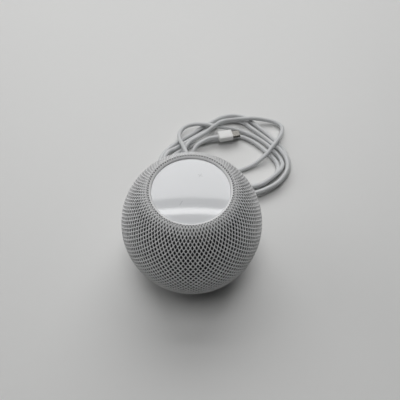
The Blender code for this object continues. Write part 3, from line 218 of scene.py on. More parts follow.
@lru_cache(maxsize=None)
def tone_effect() -> bpy.types.NodeTree:
    """Slow and fine changes of tone over a surface.

    Returns:
        The group, which puts out a Colour.
    """
    inputs = {"Colour": (COLOUR, (0.5, 0.5, 0.5, 1.0)), "Amount": (FLOAT, 0.1), "Scale": (FLOAT, 60.0)}
    wiring, given, leave = EffectGroup("tone", inputs, {"Colour": COLOUR}).start()
    place = wiring.node("TexCoord").outputs["Object"]
    slow = wiring.noise(place, given["Scale"], 2.0)
    fine = wiring.noise(place, wiring.maths("MULTIPLY", given["Scale"], 17.0), 4.0)
    both = wiring.maths("ADD", wiring.maths("MULTIPLY", slow, 0.6), wiring.maths("MULTIPLY", fine, 0.4))
    swing = wiring.maths(
        "MULTIPLY", wiring.maths("SUBTRACT", both, 0.5), wiring.maths("MULTIPLY", given["Amount"], 2.0),
    )
    level = wiring.maths("ADD", swing, 1.0)
    scale = wiring.node("VectorMath", operation="SCALE")
    wiring.feed(scale.inputs[0], given["Colour"])
    wiring.feed(scale.inputs["Scale"], level)
    wiring.feed(leave.inputs["Colour"], scale.outputs[0])
    return wiring.tree


@lru_cache(maxsize=None)
def grain_effect() -> bpy.types.NodeTree:
    """Fine relief that can be drawn out along one direction, as on brushed sheet.

    Returns:
        The group, which puts out a Height.
    """
    inputs = {"Scale": (FLOAT, 3000.0), "Stretch": (VECTOR, (1.0, 1.0, 1.0))}
    wiring, given, leave = EffectGroup("grain", inputs, {"Height": FLOAT}).start()
    drawn = wiring.node("VectorMath", operation="MULTIPLY")
    wiring.feed(drawn.inputs[0], wiring.node("TexCoord").outputs["Object"])
    wiring.feed(drawn.inputs[1], given["Stretch"])
    coarse = wiring.noise(drawn.outputs[0], given["Scale"], 4.0)
    broad = wiring.noise(drawn.outputs[0], wiring.maths("MULTIPLY", given["Scale"], 0.13), 2.0)
    height = wiring.maths(
        "ADD", wiring.maths("MULTIPLY", coarse, 0.7), wiring.maths("MULTIPLY", broad, 0.3),
    )
    wiring.feed(leave.inputs["Height"], height)
    return wiring.tree


@lru_cache(maxsize=None)
def edge_wear_effect() -> bpy.types.NodeTree:
    """Where edges are rubbed, broken up by noise.

    Returns:
        The group, which puts out a Mask.
    """
    inputs = {"Amount": (FLOAT, 0.3), "Scale": (FLOAT, 900.0)}
    wiring, given, leave = EffectGroup("edge_wear", inputs, {"Mask": FLOAT}).start()
    edge = wiring.span(wiring.node("NewGeometry").outputs["Pointiness"], 0.505, 0.58)
    broken = wiring.span(
        wiring.noise(wiring.node("TexCoord").outputs["Object"], given["Scale"], 5.0), 0.35, 0.65,
    )
    wiring.feed(
        leave.inputs["Mask"],
        wiring.maths("MULTIPLY", wiring.maths("MULTIPLY", edge, broken), given["Amount"]),
    )
    return wiring.tree


@lru_cache(maxsize=None)
def dust_effect() -> bpy.types.NodeTree:
    """Specks and a thin film of dust on what faces up.

    Returns:
        The group, which puts out a Mask.
    """
    inputs = {"Amount": (FLOAT, 0.1), "Scale": (FLOAT, 2500.0)}
    wiring, given, leave = EffectGroup("dust", inputs, {"Mask": FLOAT}).start()
    facing = wiring.node("SeparateXYZ")
    wiring.feed(facing.inputs[0], wiring.node("NewGeometry").outputs["Normal"])
    up = wiring.span(facing.outputs["Z"], 0.1, 0.95)
    place = wiring.node("TexCoord").outputs["Object"]
    specks = wiring.span(wiring.noise(place, given["Scale"], 1.0), 0.7, 0.78)
    film = wiring.span(wiring.noise(place, wiring.maths("MULTIPLY", given["Scale"], 0.02), 4.0), 0.4, 0.8)
    cover = wiring.maths("ADD", specks, wiring.maths("MULTIPLY", film, 0.35))
    wiring.feed(
        leave.inputs["Mask"],
        wiring.maths("MULTIPLY", wiring.maths("MULTIPLY", cover, up), given["Amount"]),
    )
    return wiring.tree


@lru_cache(maxsize=None)
def yarn_effect() -> bpy.types.NodeTree:
    """Twisted filaments along the crossing strands of a diamond knit.

    The map's two coordinates count strands, and a strand runs midway between whole numbers of each. Where
    two strands meet, they take turns to lie on top.

    Returns:
        The group, which puts out a Height and a Shade; the Shade is painted shade, low in the grooves between
        filaments, where the colour is darkened.
    """
    inputs = {"Filaments": (FLOAT, 9.0), "Twist": (FLOAT, 2.0)}
    wiring, given, leave = EffectGroup("yarn", inputs, {"Height": FLOAT, "Shade": FLOAT}).start()
    strands = wiring.node("SeparateXYZ")
    wiring.feed(strands.inputs[0], wiring.node("TexCoord").outputs["UV"])
    across, along = strands.outputs["X"], strands.outputs["Y"]
    offsets = [
        wiring.maths("ABSOLUTE", wiring.maths("SUBTRACT", wiring.maths("FRACT", value), 0.5))
        for value in (across, along)
    ]
    parity = wiring.maths(
        "PINGPONG", wiring.maths("ADD", wiring.maths("FLOOR", across), wiring.maths("FLOOR", along)), 1.0,
    )
    lift = wiring.maths("MULTIPLY", wiring.maths("SUBTRACT", parity, 0.5), 0.16)
    first_on_top = wiring.maths("LESS_THAN", wiring.maths("SUBTRACT", offsets[0], offsets[1]), lift)
    waves = []
    for main, other in ((across, along), (along, across)):
        turn = wiring.maths(
            "ADD", wiring.maths("MULTIPLY", main, given["Filaments"]),
            wiring.maths("MULTIPLY", other, given["Twist"]),
        )
        waves.append(wiring.maths("SINE", wiring.maths("MULTIPLY", turn, 2 * math.pi)))
    other_side = wiring.maths("SUBTRACT", 1.0, first_on_top)
    wave = wiring.maths(
        "ADD", wiring.maths("MULTIPLY", waves[0], first_on_top),
        wiring.maths("MULTIPLY", waves[1], other_side),
    )
    height = wiring.maths("ADD", wiring.maths("MULTIPLY", wave, 0.5), 0.5)
    fuzz = wiring.noise(wiring.node("TexCoord").outputs["Object"], 14000.0, 3.0)
    wiring.feed(leave.inputs["Height"], wiring.maths("ADD", height, wiring.maths("MULTIPLY", fuzz, 0.7)))
    # Painted shade: the Shade is low in the grooves between filaments and darkens the colour there.
    wiring.feed(leave.inputs["Shade"], wiring.span(height, -0.4, 0.9))
    return wiring.tree


@lru_cache(maxsize=None)
def rib_effect() -> bpy.types.NodeTree:
    """Round ribs that follow one another along the map's first coordinate, leaning by Slant.

    Returns:
        The group, which puts out a Height and a Shade; the Shade is painted shade, low in the troughs between
        ribs, where the colour is darkened.
    """
    inputs = {"Count": (FLOAT, 1.0), "Slant": (FLOAT, 0.0)}
    wiring, given, leave = EffectGroup("ribs", inputs, {"Height": FLOAT, "Shade": FLOAT}).start()
    map_place = wiring.node("SeparateXYZ")
    wiring.feed(map_place.inputs[0], wiring.node("TexCoord").outputs["UV"])
    lean = wiring.maths("MULTIPLY", map_place.outputs["Y"], given["Slant"])
    turn = wiring.maths("ADD", wiring.maths("MULTIPLY", map_place.outputs["X"], given["Count"]), lean)
    height = wiring.maths("ABSOLUTE", wiring.maths("SINE", wiring.maths("MULTIPLY", turn, math.pi)))
    fuzz = wiring.noise(wiring.node("TexCoord").outputs["Object"], 12000.0, 3.0)
    wiring.feed(leave.inputs["Height"], wiring.maths("ADD", height, wiring.maths("MULTIPLY", fuzz, 0.5)))
    # Painted shade: the Shade is low in the troughs between ribs and darkens the colour there.
    wiring.feed(leave.inputs["Shade"], wiring.span(height, -0.2, 0.6))
    return wiring.tree


@lru_cache(maxsize=None)
def track_effect() -> bpy.types.NodeTree:
    """Printed tracks and pads of a circuit board.

    Returns:
        The group, which puts out a Mask and a Height.
    """
    inputs = {"Scale": (FLOAT, 420.0)}
    wiring, given, leave = EffectGroup("tracks", inputs, {"Mask": FLOAT, "Height": FLOAT}).start()
    place = wiring.node("TexCoord").outputs["Object"]
    cells = wiring.node("TexVoronoi", feature="DISTANCE_TO_EDGE")
    wiring.feed(cells.inputs["Vector"], place)
    wiring.feed(cells.inputs["Scale"], given["Scale"])
    lines = wiring.maths("SUBTRACT", 1.0, wiring.span(cells.outputs["Distance"], 0.05, 0.09))
    dots = wiring.node("TexVoronoi")
    wiring.feed(dots.inputs["Vector"], place)
    wiring.feed(dots.inputs["Scale"], wiring.maths("MULTIPLY", given["Scale"], 1.6))
    pads = wiring.maths("SUBTRACT", 1.0, wiring.span(dots.outputs["Distance"], 0.16, 0.22))
    mask = wiring.maths("MAXIMUM", lines, pads)
    wiring.feed(leave.inputs["Mask"], mask)
    wiring.feed(leave.inputs["Height"], mask)
    return wiring.tree


# ------------------------------------------------------------------------------------------------- finishes


class Relief(Enum):
    """What a surface's fine relief is made of."""

    GRAIN = "grain"
    YARN = "yarn"
    RIBS = "ribs"
    TRACKS = "tracks"


@dataclass(frozen=True)
class Finish:
    """One finish of the speaker, with a material slot's name.

    Attributes:
        name: what a maker would call it.
        slot: a material slot's name; not used.
        colour: its colour, linear.
        roughness: its roughness.
        metallic: 1 for bare metal.
        relief: what its fine relief is made of.
        relief_scale: features to a metre, or ribs to one step of the map.
        relief_depth: how deep the relief is, in metres.
        stretch: how the grain is drawn out.
        variation: how far its tone wanders.
        wear: how much its edges are rubbed.
        dust: how much dust lies on it.
        sheen: its fibres' soft glow at a slant.
        coat: its clear coat.
        milkiness: how far light spreads inside it.
    """

    name: str
    slot: str
    colour: Colour
    roughness: float
    metallic: float = 0.0
    relief: Relief = Relief.GRAIN
    relief_scale: float = 3000.0
    relief_depth: float = 0.02 * MM
    stretch: tuple[float, float, float] = (1.0, 1.0, 1.0)
    variation: float = 0.05
    wear: float = 0.15
    dust: float = 0.0
    sheen: float = 0.0
    coat: float = 0.0
    milkiness: float = 0.0

    def reliefs(self, wiring: Wiring) -> tuple[bpy.types.NodeSocket, bpy.types.NodeSocket | None]:
        """Places the finish's relief.

        Args:
            wiring: the material's nodes.

        Returns:
            The relief's height, and its painted shade for the grooves where it has one.
        """
        if self.relief is Relief.YARN:
            group = wiring.effect(yarn_effect(), Filaments=self.relief_scale)
            return group.outputs["Height"], group.outputs["Shade"]
        if self.relief is Relief.RIBS:
            group = wiring.effect(rib_effect(), Count=self.relief_scale, Slant=self.stretch[1])
            return group.outputs["Height"], group.outputs["Shade"]
        if self.relief is Relief.TRACKS:
            group = wiring.effect(track_effect(), Scale=self.relief_scale)
            return group.outputs["Height"], None
        group = wiring.effect(grain_effect(), Scale=self.relief_scale, Stretch=self.stretch)
        return group.outputs["Height"], None


@lru_cache(maxsize=None)
def material_of(finish: Finish) -> bpy.types.Material:
    """Builds a finish's material, once.

    Args:
        finish: the finish.

    Returns:
        Its material.
    """
    material = bpy.data.materials.new(finish.name)
    material.use_nodes = True
    wiring = Wiring(material.node_tree)
    shader = material.node_tree.nodes["Principled BSDF"]
    tone = wiring.effect(tone_effect(), Colour=(*finish.colour, 1.0), Amount=finish.variation)
    height, painted_shade = finish.reliefs(wiring)
    colour = tone.outputs["Colour"]
    # Painted shade: where a relief has a shade, its grooves are darkened towards 0.84 of the colour.
    if painted_shade is not None:
        groove_shade_colour = wiring.mix(1.0, colour, (0.84, 0.84, 0.85, 1.0), "MULTIPLY")
        colour = wiring.mix(painted_shade, groove_shade_colour, colour)
    if finish.relief is Relief.TRACKS:
        colour = wiring.mix(height, colour, (0.10, 0.34, 0.15, 1.0))
    worn = wiring.effect(edge_wear_effect(), Amount=finish.wear).outputs["Mask"]
    lighter = wiring.mix(0.35, colour, (1.0, 1.0, 1.0, 1.0))
    colour = wiring.mix(worn, colour, lighter)
    if finish.dust:
        dusty = wiring.effect(dust_effect(), Amount=finish.dust).outputs["Mask"]
        colour = wiring.mix(dusty, colour, (0.45, 0.44, 0.42, 1.0))
    wiring.feed(shader.inputs["Base Color"], colour)
    grain = wiring.effect(grain_effect(), Scale=700.0).outputs["Height"]
    swing = wiring.maths("MULTIPLY", wiring.maths("SUBTRACT", grain, 0.5), 0.3 * finish.roughness + 0.04)
    rough = wiring.maths(
        "ADD", wiring.maths("ADD", swing, finish.roughness), wiring.maths("MULTIPLY", worn, -0.1),
    )
    wiring.feed(
        shader.inputs["Roughness"], wiring.maths("MINIMUM", wiring.maths("MAXIMUM", rough, 0.03), 1.0),
    )
    bump = wiring.node("Bump")
    bump.inputs["Strength"].default_value = 1.0
    bump.inputs["Distance"].default_value = finish.relief_depth
    wiring.feed(bump.inputs["Height"], height)
    wiring.feed(shader.inputs["Normal"], bump.outputs["Normal"])
    shader.inputs["Metallic"].default_value = finish.metallic
    shader.inputs["Sheen Weight"].default_value = finish.sheen
    shader.inputs["Sheen Roughness"].default_value = 0.4
    shader.inputs["Coat Weight"].default_value = finish.coat
    shader.inputs["Coat Roughness"].default_value = 0.05
    if finish.milkiness:
        shader.inputs["Subsurface Weight"].default_value = finish.milkiness
        shader.inputs["Subsurface Radius"].default_value = (1.0, 0.95, 0.9)
        shader.inputs["Subsurface Scale"].default_value = 1.2 * MM
    return material


KNIT = Finish(
    "white_mesh_knit", "knit_fabric", (0.93, 0.93, 0.93), 0.85, relief=Relief.YARN, relief_scale=9.0,
    relief_depth=0.05 * MM, variation=0.05, wear=0.0, dust=0.04, sheen=1.0,
)
RIB_KNIT = Finish(
    "white_rib_knit", "knit_fabric", (0.93, 0.93, 0.93), 0.85, relief=Relief.RIBS, relief_scale=1.0,
    relief_depth=0.06 * MM, stretch=(1.0, 6.0, 1.0), variation=0.05, wear=0.0, dust=0.04, sheen=1.0,
)
DRAWCORD = Finish(
    "drawcord_twist", "knit_fabric", (0.60, 0.60, 0.61), 0.9, relief_scale=5200.0, relief_depth=0.1 * MM,
    stretch=(1.0, 1.0, 2.5), wear=0.0, sheen=0.3,
)
TOUCH_GLOSS = Finish(
    "polished_touch_white", "gloss_white", (0.73, 0.74, 0.755), 0.10, relief_scale=900.0,
    relief_depth=0.0015 * MM, variation=0.012, wear=0.1, dust=0.05, coat=0.6, milkiness=0.12,
)
MARK_GREY = Finish(
    "touch_mark_grey", "gloss_white", (0.60, 0.61, 0.625),
    0.14, relief_depth=0.001 * MM, variation=0.01, coat=0.6,
)
HOUSING_WHITE = Finish(
    "satin_white", "white_plastic", (0.72, 0.73, 0.74), 0.42, relief_scale=5200.0, relief_depth=0.012 * MM,
)
FOOT_RUBBER = Finish(
    "foot_silicone", "foot_rubber", (0.30, 0.31, 0.32),
    0.8, relief_scale=2600.0, relief_depth=0.03 * MM, dust=0.2,
)
BLACK_RUBBER = Finish(
    "black_rubber", "black_rubber", (0.018, 0.018, 0.019), 0.75, relief_scale=2400.0,
    relief_depth=0.025 * MM,
)
MOULDED_BLACK = Finish(
    "glass_filled_black", "dark_plastic", (0.030, 0.030, 0.034), 0.55, relief_scale=3400.0,
    relief_depth=0.03 * MM, variation=0.12, wear=0.25,
)
CIRCUIT = Finish(
    "solder_mask", "circuit_board", (0.015, 0.11, 0.055), 0.35, relief=Relief.TRACKS, relief_scale=420.0,
    coat=0.3,
)
STEEL = Finish(
    "plated_steel", "steel", (0.56, 0.56, 0.57), 0.3, 1.0, relief_scale=2600.0, relief_depth=0.004 * MM,
    stretch=(1.0, 0.05, 1.0),
)
ALUMINIUM = Finish(
    "brushed_aluminium", "aluminium", (0.76, 0.77, 0.78), 0.36, 1.0, relief_scale=3200.0,
    relief_depth=0.006 * MM, stretch=(0.04, 1.0, 1.0),
)
FERRITE = Finish(
    "sintered_ferrite", "ferrite", (0.10, 0.10, 0.11), 0.6, relief_scale=1900.0, relief_depth=0.05 * MM,
    variation=0.15,
)
COPPER = Finish(
    "enamelled_copper", "copper", (0.72, 0.36, 0.18), 0.3, 1.0, relief_scale=5200.0, relief_depth=0.05 * MM,
    stretch=(0.06, 0.06, 1.0), coat=0.5,
)
PAPER = Finish(
    "pressed_paper", "paper_cone", (0.040, 0.040, 0.045), 0.8, relief_scale=1500.0, relief_depth=0.09 * MM,
    stretch=(1.0, 0.35, 1.0), variation=0.25,
)
SPIDER_CLOTH = Finish(
    "resin_cloth", "spider_cloth", (0.48, 0.25, 0.07), 0.8, relief=Relief.RIBS, relief_scale=1.0,
    relief_depth=0.08 * MM, stretch=(1.0, 40.0, 1.0), variation=0.15, sheen=0.2,
)
MILKY = Finish(
    "milky_light_plastic", "milky_plastic", (0.84, 0.85, 0.87), 0.4, relief_scale=4000.0,
    relief_depth=0.01 * MM, milkiness=0.4,
)
LEAD_JACKET = Finish(
    "satin_lead_jacket", "lead_white", (0.66, 0.67, 0.675),
    0.42, relief_scale=1500.0, relief_depth=0.02 * MM,
    variation=0.03, wear=0.0, dust=0.12, sheen=0.1,
)
# Painted shade: the plug shell's steel is darkened to stand for the shade and dark reflections on it.
PLUG_STEEL_PAINTED_SHADE = Finish(
    "plug_steel_painted_shade", "steel", (0.13, 0.125, 0.115), 0.26, 1.0, relief_scale=2600.0, relief_depth=0.003 * MM,
    stretch=(1.0, 0.05, 1.0),
)
PLUG_WHITE = Finish(
    "plug_white", "lead_white", (0.80, 0.80, 0.79), 0.3, relief_scale=3600.0, relief_depth=0.006 * MM,
    variation=0.015,
)
CONTACT_GOLD = Finish(
    "contact_gold", "copper", (0.83, 0.60, 0.25), 0.22, 1.0, relief_scale=6000.0, relief_depth=0.002 * MM,
)
INSERT_BLACK = Finish(
    "insert_black", "dark_plastic", (0.025, 0.025, 0.028),
    0.4, relief_scale=5200.0, relief_depth=0.008 * MM,
)


# ----------------------------------------------------------------------------------------------- mesh tools


class Facing(Enum):
    """Which way a turned piece's own axis points, as a rotation axis and angle."""

    UP = ("Z", 0.0)
    BACK = ("X", -math.pi / 2)
    LEFT = ("Y", -math.pi / 2)
    RIGHT = ("Y", math.pi / 2)

    def matrix(self) -> np.ndarray:
        """The rotation, three by three."""
        axis, angle = self.value
        return np.array(Matrix.Rotation(angle, 3, axis))


def skin(
    name: str, points: np.ndarray, faces: list, spots: np.ndarray | None = None, tidy: bool = True,
) -> Piece:
    """Makes a smooth-shaded mesh.

    Args:
        name: the piece's name.
        points: its corners.
        faces: corner numbers of each face.
        spots: map coordinates for each corner of each face, in order.
        tidy: whether to turn all faces outward.

    Returns:
        The new piece.
    """
    mesh = bpy.data.meshes.new(name)
    mesh.from_pydata(points.reshape(-1, 3).tolist(), [], faces)
    if spots is not None:
        layer = mesh.uv_layers.new(name="strands")
        layer.data.foreach_set("uv", spots.astype(np.float32).ravel())
    if tidy:
        shape = bmesh.new()
        shape.from_mesh(mesh)
        bmesh.ops.recalc_face_normals(shape, faces=shape.faces)
        shape.to_mesh(mesh)
        shape.free()
    mesh.shade_smooth()
    mesh.set_sharp_from_angle(angle=math.radians(50))
    piece = bpy.data.objects.new(name, mesh)
    bpy.context.scene.collection.objects.link(piece)
    return piece


def loft(
    name: str, rings: np.ndarray, loop: bool = False, caps: bool = True, repeats: float = 1.0,
) -> Piece:
    """Joins rings of points into a skin.

    Args:
        name: the piece's name.
        rings: the rings, as rings by points by three.
        loop: whether the last ring joins the first.
        caps: whether the first and last rings are closed.
        repeats: how far the map's first coordinate runs round a ring.

    Returns:
        The new piece.
    """
    count, sides = rings.shape[:2]
    index = np.arange(count * sides).reshape(count, sides)
    spans = count if loop else count - 1
    near = index[:spans]
    far = index[(np.arange(spans) + 1) % count]
    quads = np.stack([near, np.roll(near, -1, 1), np.roll(far, -1, 1), far], axis=-1).reshape(-1, 4)
    faces = quads.tolist()
    column, row = np.meshgrid(np.arange(sides), np.arange(spans))
    around = np.stack([column, column + 1, column + 1, column], axis=-1) * repeats / sides
    down = np.stack([row, row, row + 1, row + 1], axis=-1) / max(1, count - 1)
    spots = np.stack([around, down], axis=-1).reshape(-1, 2)
    if caps and not loop:
        faces += [index[0][::-1].tolist(), index[-1].tolist()]
        spots = np.vstack([spots, np.zeros((2 * sides, 2))])
    return skin(name, rings, faces, spots)


def turned(
    name: str,
    outline: Sequence[tuple[float, float]],
    segments: int = 96,
    loop: bool = False,
    facing: Facing = Facing.UP,
    centre: Sequence[float] = (0.0, 0.0, 0.0),
    repeats: float = 1.0,
) -> Piece:
    """Turns an outline about an axis.

    Args:
        name: the piece's name.
        outline: radius and height of each point.
        segments: how many steps there are round the axis.
        loop: whether the outline closes on itself.
        facing: where the axis points.
        centre: where the outline's own origin lies.
        repeats: how far the map's first coordinate runs round.

    Returns:
        The new piece.
    """
    line = np.array(outline, float)
    angle = np.linspace(0, 2 * math.pi, segments, endpoint=False)
    radius = np.maximum(line[:, :1], 0.02 * MM)
    rings = np.stack([radius * np.cos(angle), radius * np.sin(angle), line[:, 1:] + 0 * angle], axis=-1)
    return loft(name, rings @ facing.matrix().T + np.array(centre, float), loop, repeats=repeats)


def rounded(
    corners: Sequence[tuple[float, float]], radius: float, loop: bool = True, steps: int = 4,
) -> list:
    """Rounds the corners of an outline.

    Args:
        corners: the outline's corners.
        radius: how far from a corner its round starts.
        loop: whether the outline closes on itself.
        steps: how many runs make one round.

    Returns:
        The rounded outline.
    """
    points = [Vector(corner) for corner in corners]
    outline = []
    for i, corner in enumerate(points):
        if not loop and i in (0, len(points) - 1):
            outline.append(tuple(corner))
            continue
        before = points[i - 1] - corner
        after = points[(i + 1) % len(points)] - corner
        enter = corner + before.normalized() * min(radius, 0.45 * before.length)
        leave = corner + after.normalized() * min(radius, 0.45 * after.length)
        for j in range(steps + 1):
            t = j / steps
            outline.append(tuple(enter * (1 - t) ** 2 + corner * 2 * t * (1 - t) + leave * t * t))
    return outline


def swelling_strip(
    inner: float, outer: float, low: float, high: float, roll: float, waves: int, thick: float,
) -> list:
    """The closed outline of a thin ring that climbs outward and swells in half waves.

    Args:
        inner: its inner radius.
        outer: its outer radius.
        low: its height at the inner edge.
        high: its height at the outer edge.
        roll: how far it swells.
        waves: how many half waves it has.
        thick: its thickness.

    Returns:
        Radius and height of each point.
    """
    share = np.linspace(0, 1, 10 * waves + 1)
    radius = inner + (outer - inner) * share
    height = low + (high - low) * share + roll * np.sin(math.pi * waves * share)
    upper = list(zip(radius, height))
    return upper + [(r, z - thick) for r, z in reversed(upper)]


def fit(piece: Piece, body: str, finish: Finish, *stands_for: str) -> Piece:
    """Dresses a piece, lets it ride on a body and stand for CAD nodes.

    Args:
        piece: the piece.
        body: the body that it moves with.
        finish: its finish.
        stands_for: the nodes that it replaces.

    Returns:
        The same piece.
    """
    piece.data.materials.append(material_of(finish))
    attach(piece, body)
    if stands_for:
        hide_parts(*stands_for)
    return piece


def bend(
    piece: Piece, finish: Finish, node: str
) -> None:
    """Dresses a piece that lies between the root and a moving body, and fixes its place in its mesh.

    Args:
        piece: the piece.
        finish: its finish.
        node: the CAD node that it replaces.
    """
    piece.data.materials.append(material_of(finish))
    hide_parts(node)
    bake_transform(piece)


def dress(finish: Finish, *names: str) -> list[Piece]:
    """Gives CAD nodes a finish and leaves their meshes alone.

    Args:
        finish: the finish.
        names: the nodes.

    Returns:
        The nodes' objects.
    """
    items = [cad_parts[name] for name in names]
    for item in items:
        item.data.materials.clear()
        item.data.materials.append(material_of(finish))
    return items


# ---------------------------------------------------------------------------------------------------- cover


@dataclass
class Outline:
    """The cover's outline from inside the lip, over the body, to the hem, with the way that it faces."""

    radius: np.ndarray
    height: np.ndarray
    out: np.ndarray
    along: np.ndarray

    def at(self, along: np.ndarray) -> tuple[np.ndarray, np.ndarray, np.ndarray, np.ndarray]:
        """Reads the outline.

        Args:
            along: how far along it to read.

        Returns:
            Radius, height, and the outward direction's radial and upward shares.
        """
        rows = (self.radius, self.height, self.out[:, 0], self.out[:, 1])
        radius, height, out_r, out_z = (np.interp(along, self.along, row) for row in rows)
        return radius, height, out_r, out_z

    def skin_points(self, along: np.ndarray, angle: np.ndarray, rise: np.ndarray) -> np.ndarray:
        """Places points on or above the outline, turned about the body's axis.

        Args:
            along: how far along the outline each point is.
            angle: how far round the body it is.
            rise: how far it stands out from the outline.

        Returns:
            The points.
        """
        radius, height, out_r, out_z = self.at(along)
        reach = radius + rise * out_r
        return np.stack([reach * np.cos(angle), reach * np.sin(angle), height + rise * out_z], axis=-1)


@dataclass
class KnitCover:
    """The knitted sleeve, its rolled lip, its hem and the bound opening for the lead.

    A hole's cell is a diamond, one wale wide and two rows tall, and every other row is shifted by half a wale.
    """

    half_height: float = 50.8 * MM
    base_opening: float = 29.2 * MM
    lip_start: float = 27.8 * MM
    lip_round: float = 1.6 * MM
    lip_depth: float = 3.06 * MM
    lip_reach: float = 1.5 * MM
    lip_lap: float = 0.7 * MM
    disc_gap: float = 0.04 * MM
    wales: int = 92
    top_pitch: float = 2.2 * MM
    bottom_pitch: float = 1.95 * MM
    sides: int = 8
    hole_width: float = 0.66
    hole_height: float = 1.34
    hole_roundness: float = 0.55
    top_fade: tuple[float, float] = (0.34, 0.15)
    hem_fade: tuple[float, float] = (0.8, 0.16)
    uneven_size: float = 0.045
    uneven_place: float = 0.012
    shoulder: float = 0.05 * MM
    strand_round: float = 0.30 * MM
    wall_depth: float = 0.60 * MM
    undercut: float = 0.97
    knot_sink: float = 0.10 * MM
    hem_height: float = 2.4 * MM
    hem_round: float = 0.55 * MM
    hem_lap: float = 0.6 * MM
    rib_height: float = 0.10 * MM
    exit_height: float = 15.0 * MM
    opening_radius: float = 3.5 * MM
    stretch_reach: float = 6.5 * MM
    binding_width: float = 1.5 * MM
    stitches: int = 30
    seed: int = 11

    @property
    def body(self) -> float:
        """The body's greatest radius."""
        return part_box("knit_sleeve")[1].x

    @property
    def middle(self) -> float:
        """The height at which the body is widest."""
        lift = self.half_height * math.sqrt(1 - (self.base_opening / self.body) ** 2)
        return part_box("knit_sleeve")[0].z + lift

    @property
    def around(self) -> np.ndarray:
        """Angles round the body, eight to a wale."""
        return np.linspace(0, 2 * math.pi, 8 * self.wales, endpoint=False)

    def back(self, x: np.ndarray, z: np.ndarray) -> np.ndarray:
        """How far back the body's surface is at a place seen from behind."""
        level = ((z - self.middle) / self.half_height) ** 2 + (x / self.body) ** 2
        return self.body * np.sqrt(np.maximum(1 - level, 0))

    def outline(self) -> tuple[Outline, float]:
        """Works out the cover's outline from its solid's box and its own sizes.

        Returns:
            The outline, and how far along it the lip's crest is.
        """
        body, middle, tall = self.body, self.middle, self.half_height
        lip_z = middle + tall * math.sqrt(1 - (self.lip_start / body) ** 2)
        slope = math.atan2((lip_z - middle) / tall**2, self.lip_start / body**2)
        outward = np.array([math.cos(slope), math.sin(slope)])
        centre = np.array([self.lip_start, lip_z]) - self.lip_round * outward
        wall_z = np.linspace(centre[1] + self.lip_round - self.lip_depth, centre[1], 12, endpoint=False)
        wall = np.stack([np.full_like(wall_z, centre[0] - self.lip_round), wall_z], axis=1)
        turn = np.linspace(math.pi, slope, 48)
        roll = np.stack([np.cos(turn), np.sin(turn)], axis=1)
        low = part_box("knit_sleeve")[0].z
        fall = np.linspace(math.asin((lip_z - middle) / tall), math.asin((low - middle) / tall), 800)[1:]
        side = np.stack([body * np.cos(fall), middle + tall * np.sin(fall)], axis=1)
        facing = np.stack([np.cos(fall) / body, np.sin(fall) / tall], axis=1)
        facing /= np.linalg.norm(facing, axis=1)[:, None]
        points = np.vstack([wall, centre + self.lip_round * roll, side])
        out = np.vstack([np.tile([-1.0, 0.0], (len(wall), 1)), roll, facing])
        along = np.concatenate([[0.0], np.cumsum(np.linalg.norm(np.diff(points, axis=0), axis=1))])
        crest = float(along[len(wall) + int(np.argmin(np.abs(turn - math.pi / 2)))])
        return Outline(points[:, 0], points[:, 1], out, along), crest

    def make_room(self, points: np.ndarray) -> np.ndarray:
        """Draws the knit apart round the lead's exit, as a bound opening does.

        Args:
            points: the knit's points.

        Returns:
            The points, moved away from the exit.
        """
        centre = np.array([0.0, self.exit_height])
        offset = points[:, [0, 2]] - centre
        distance = np.linalg.norm(offset, axis=1)
        near = (distance < self.stretch_reach) & (points[:, 1] > 0)
        x, z = points[near, 0], points[near, 2]
        wanted = self.opening_radius + distance[near] * (1 - self.opening_radius / self.stretch_reach)
        new_x, new_z = (centre + offset[near] * (wanted / distance[near])[:, None]).T
        moved = points.copy()
        moved[near] = np.stack(
            [new_x, points[near, 1] + self.back(new_x, new_z) - self.back(x, z), new_z], axis=1,
        )
        return moved

    def travel(self, v: np.ndarray, rows: int, start: float, end: float) -> np.ndarray:
        """Turns a row number into a place along the outline.

        Args:
            v: row numbers, whole or between.
            rows: how many rows there are.
            start: where the first row is.
            end: where the last row is.

        Returns:
            How far along the outline each one is.
        """
        share = v / rows
        lean = self.bottom_pitch - self.top_pitch
        eased = share * (self.top_pitch + 0.5 * lean * share) / (self.top_pitch + 0.5 * lean)
        return start + (end - start) * eased

    def mesh_knit(self, outline: Outline, start: float, end: float) -> Piece:
        """Knits the diamond mesh: staggered holes between rounded strands that cross.

        Args:
            outline: the cover's outline.
            start: how far along it the knit starts.
            end: how far along it the knit ends.

        Returns:
            The mesh knit.
        """
        rows = round((end - start) / (0.5 * (self.top_pitch + self.bottom_pitch)))
        heights = outline.at(self.travel(np.arange(rows + 1), rows, start, end))[1]
        exit_row = int(np.argmin(np.abs(heights - self.exit_height)))
        v = np.repeat(np.arange(1, rows), self.wales)
        u = np.tile(np.arange(self.wales), rows - 1) + 0.5 * ((v - exit_row) % 2)
        keep = (v != exit_row) | (u != self.wales // 4)
        u, v = u[keep], v[keep]

        step = self.sides // 4
        share = (np.arange(self.sides) % step / step)[:, None]
        leg = np.arange(self.sides) // step
        corners = np.array([(0.5, 0.0), (0.0, -1.0), (-0.5, 0.0), (0.0, 1.0), (0.5, 0.0)])
        diamond = corners[leg] * (1 - share) + corners[leg + 1] * share
        turn = np.linspace(0, 2 * math.pi, self.sides, endpoint=False)
        oval = np.stack([0.5 * np.cos(turn), -np.sin(turn)], axis=1)
        hole = self.hole_roundness * oval + (1 - self.hole_roundness) * diamond
        hole = hole * [self.hole_width, 0.5 * self.hole_height]
        at_top = self.top_fade[0] + self.top_fade[1] * v
        at_hem = self.hem_fade[0] + self.hem_fade[1] * (rows - v)
        openness = np.clip(np.minimum(at_top, at_hem), 0, 1)
        rng = np.random.default_rng(self.seed)
        uneven = rng.normal(1, self.uneven_size, (len(v), 2))
        size = np.stack([openness, np.sqrt(openness)], axis=1) * uneven
        rim = hole * size[:, None, :] + rng.normal(0, self.uneven_place, (len(v), 1, 2))
        bound = np.tile(diamond, (len(v), 1, 1))
        knots = np.where(share[:, 0] == 0, self.knot_sink, 0.0)

